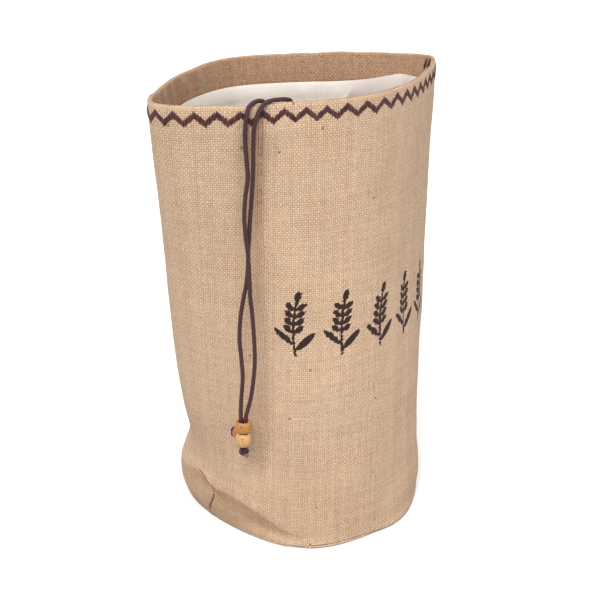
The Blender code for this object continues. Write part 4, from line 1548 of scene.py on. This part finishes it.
def cottonPaint():
    paint = Paint("cotton cloth")
    look = cottonLook
    u, v = paint.uv("cloth")
    fine = paint.noise(u * look["fineScale"], v * look["fineScale"])
    wide, tall = look["crumpleScales"]
    crumple = paint.noise(u * wide, v * tall, detail=4.0, roughness=0.55)
    colour = paint.mix((crumple - look["crumpleMost"]) * look["crumpleShare"], look["dark"], look["light"])
    # painted shade: greyer beside the main fold and at the right and left
    beside = paint.attribute("flapShadow") * paint.attribute("fold").soft(*look["besideFold"])
    colour = paint.mix((paint.attribute("shadeGrey") + beside) * look["shadeGreyShare"], colour, look["shadeGrey"])
    normal = paint.bump(crumple + fine * look["fineRelief"], look["relief"], 0.55)
    return paint.finish(colour, normal, Roughness=0.85, Specular_IOR_Level=0.2, Sheen_Weight=0.05)


cordLook = {
    "dark": shade(46, 24, 25),
    "light": shade(77, 46, 46),
    "fuzz": shade(105, 78, 82),
    "fuzzFrom": 0.35,
    "fuzzShare": 0.5,
    "yarnAt": (0.3, 1.0),
    "fibreScales": (3000.0, 9.0),
    "relief": 0.12 * mm,
    "coreDark": shade(80, 68, 76),
    "coreLight": shade(142, 130, 136),
    "coreScale": 1800.0,
}


def cordPaint():
    paint = Paint("braided cord")
    along, around = paint.uv("cord")
    turn = along * (fullTurn / (cord["braidPitch"] * mm))
    spin = around * (fullTurn * cord["braidStrands"])
    right = ((spin - turn) * 0.5 + math.pi / 2).sine() ** 2.0
    left = ((spin + turn) * 0.5 + math.pi / 2).sine() ** 2.0
    yarn = right.over(left)
    scaleAlong, scaleAround = cordLook["fibreScales"]
    fibre = paint.noise(along * scaleAlong, around * scaleAround, detail=2.0)
    # painted shade: the braid darker in the crevices between its yarns
    colour = paint.mix(yarn.soft(*cordLook["yarnAt"]), cordLook["dark"], cordLook["light"])
    fuzz = (fibre - cordLook["fuzzFrom"]) * cordLook["fuzzShare"]
    colour = paint.mix(fuzz, colour, cordLook["fuzz"])
    normal = paint.bump(fibre + yarn, cordLook["relief"], 0.8)
    return paint.finish(colour, normal, Roughness=0.6, Specular_IOR_Level=0.25, Sheen_Weight=0.04)


def cordCorePaint():
    paint = Paint("cut cord end")
    grain = paint.noiseAt(paint.place(), cordLook["coreScale"])
    return paint.finish(paint.mix(grain, cordLook["coreDark"], cordLook["coreLight"]), None, Roughness=0.8)


woodLook = {
    "alongGrain": (1.0, 1.0, 0.16),
    "grainScale": 1500.0,
    "grainAt": (0.3, 0.72),
    "spotScale": 340.0,
    "spotsAt": (0.5, 0.68),
    "spotShare": 0.75,
    "relief": 0.06 * mm,
}
woods = {
    # material, where its grain is centred, then the pale, middle and dark colours
    "beadTop": ("orange wood", (-109.7, -78.3, 126.1), (197, 141, 76), (170, 108, 48), (104, 56, 24)),
    "beadLower": ("pale wood", (-109.7, -78.3, 115.0), (222, 180, 117), (196, 142, 80), (158, 96, 44)),
    "beadSide": ("red wood", (-105.5, -66.3, 113.0), (190, 122, 64), (160, 92, 46), (112, 60, 32)),
}


def woodPaint(name, centre, pale, mid, dark):
    paint = Paint(name)
    at = paint.add("ShaderNodeMapping", {}, {
        "Vector": paint.place(), "Location": tuple(-c * mm for c in centre),
    })
    stretched = paint.add("ShaderNodeVectorMath", {"operation": "MULTIPLY"}, {
        0: at, 1: woodLook["alongGrain"],
    })
    grain = paint.noiseAt(stretched, woodLook["grainScale"], 3.0, 0.6)
    spots = paint.noiseAt(at, woodLook["spotScale"], 3.0, 0.6).soft(*woodLook["spotsAt"])
    colour = paint.mix(grain.soft(*woodLook["grainAt"]), shade(*pale), shade(*mid))
    colour = paint.mix(spots * woodLook["spotShare"], colour, shade(*dark))
    normal = paint.bump(grain, woodLook["relief"], 0.5)
    return paint.finish(colour, normal, Roughness=0.46, Coat_Weight=0.12, Coat_Roughness=0.3)


def dress(item, *materials):
    for material in materials:
        item.data.materials.append(material)


dress(hessianCloth, hessianPaint("printed hessian", True))
dress(baseCloth, hessianPaint("plain hessian", False))
dress(liningCloth, cottonPaint())
braidedCord = cordPaint()
for piece in (cordLeft, cordRight, knotSide):
    dress(piece, braidedCord)
dress(knotLower, braidedCord, cordCorePaint())
for name, looks in woods.items():
    dress(beads[name], woodPaint(*looks))
print("materials set")

# Light and floor: paler above than below, as in a light tent on a table
light = {
    "above": 0.95,
    "below": 0.32,
    "turnsFrom": -0.35,
    "turnsTo": 0.45,
    "floorColour": (0.95, 0.95, 0.95, 1.0),
    "floorReach": 12.0,
    "floorLevel": -0.0004,
}
suns = (
    # name, direction it shines from, spread in degrees, strength
    ("key light", (-1.0, -0.85, 1.45), 26.0, 2.1),
    ("fill light", (0.5, -1.0, 0.8), 60.0, 0.45),
)


def makeSun(name, place, spread, strength):
    data = bpy.data.lights.new(name, "SUN")
    data.angle = math.radians(spread)
    data.energy = strength
    aimed(name, data, place, -Vector(place))


def makeFloor():
    data = bpy.data.meshes.new("floor")
    reach = light["floorReach"]
    sides = ((-reach, -reach), (reach, -reach), (reach, reach), (-reach, reach))
    data.from_pydata([(x, y, light["floorLevel"]) for x, y in sides], [], [(0, 1, 2, 3)])
    floor = placed("floor", data)
    dress(floor, Paint("floor").finish(light["floorColour"], None, Roughness=0.9, Specular_IOR_Level=0.1))
    floor.visible_diffuse = False


def makeStage():
    makeFloor()
    world = bpy.data.worlds.new("studio")
    world.use_nodes = True
    background = world.node_tree.nodes["Background"]
    background.inputs["Color"].default_value = (1.0, 1.0, 1.0, 1.0)
    direction = addNode(world.node_tree, "ShaderNodeTexCoord", {}, {}, "Generated")
    up = addNode(world.node_tree, "ShaderNodeSeparateXYZ", {}, {0: direction}, "Z")
    strength = addNode(world.node_tree, "ShaderNodeMapRange", {}, {
        "Value": up, "From Min": light["turnsFrom"], "From Max": light["turnsTo"],
        "To Min": light["below"], "To Max": light["above"],
    })
    world.node_tree.links.new(strength.socket, background.inputs["Strength"])
    bpy.context.scene.world = world
    for row in suns:
        makeSun(*row)
    bpy.context.scene.view_settings.view_transform = "Standard"


makeStage()
print("stage lit")

# What each piece stands for: each is hung on the root and its CAD part hidden
stands = (
    # piece, CAD node, record slot
    (hessianCloth, "hessian_body", "hessian"),
    (baseCloth, "base", "hessian"),
    (liningCloth, "lining", "cotton"),
    (zigzagThreads, "zigzag_stitch", "stitching"),
    (cordLeft, "drawcord_left", "cord"),
    (cordRight, "drawcord_right", "cord"),
    (beads["beadTop"], "bead_top", "wood"),
    (beads["beadSide"], "bead_side", "wood"),
    (beads["beadLower"], "bead_lower", "pale_wood"),
    (knotLower, "knot_lower", "cord"),
    (knotSide, "knot_side", "cord"),
)
for piece, node, slot in stands:
    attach(piece, "root")
    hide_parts(node)

for piece, path, ends in (
    (cordLeft, leftPath, [beads["beadTop"], beads["beadLower"], knotLower]),
    (cordRight, rightPath, [beads["beadSide"], knotSide]),
):
    tuple(path[0] * mm)
    [tuple(p * mm) for p in path]
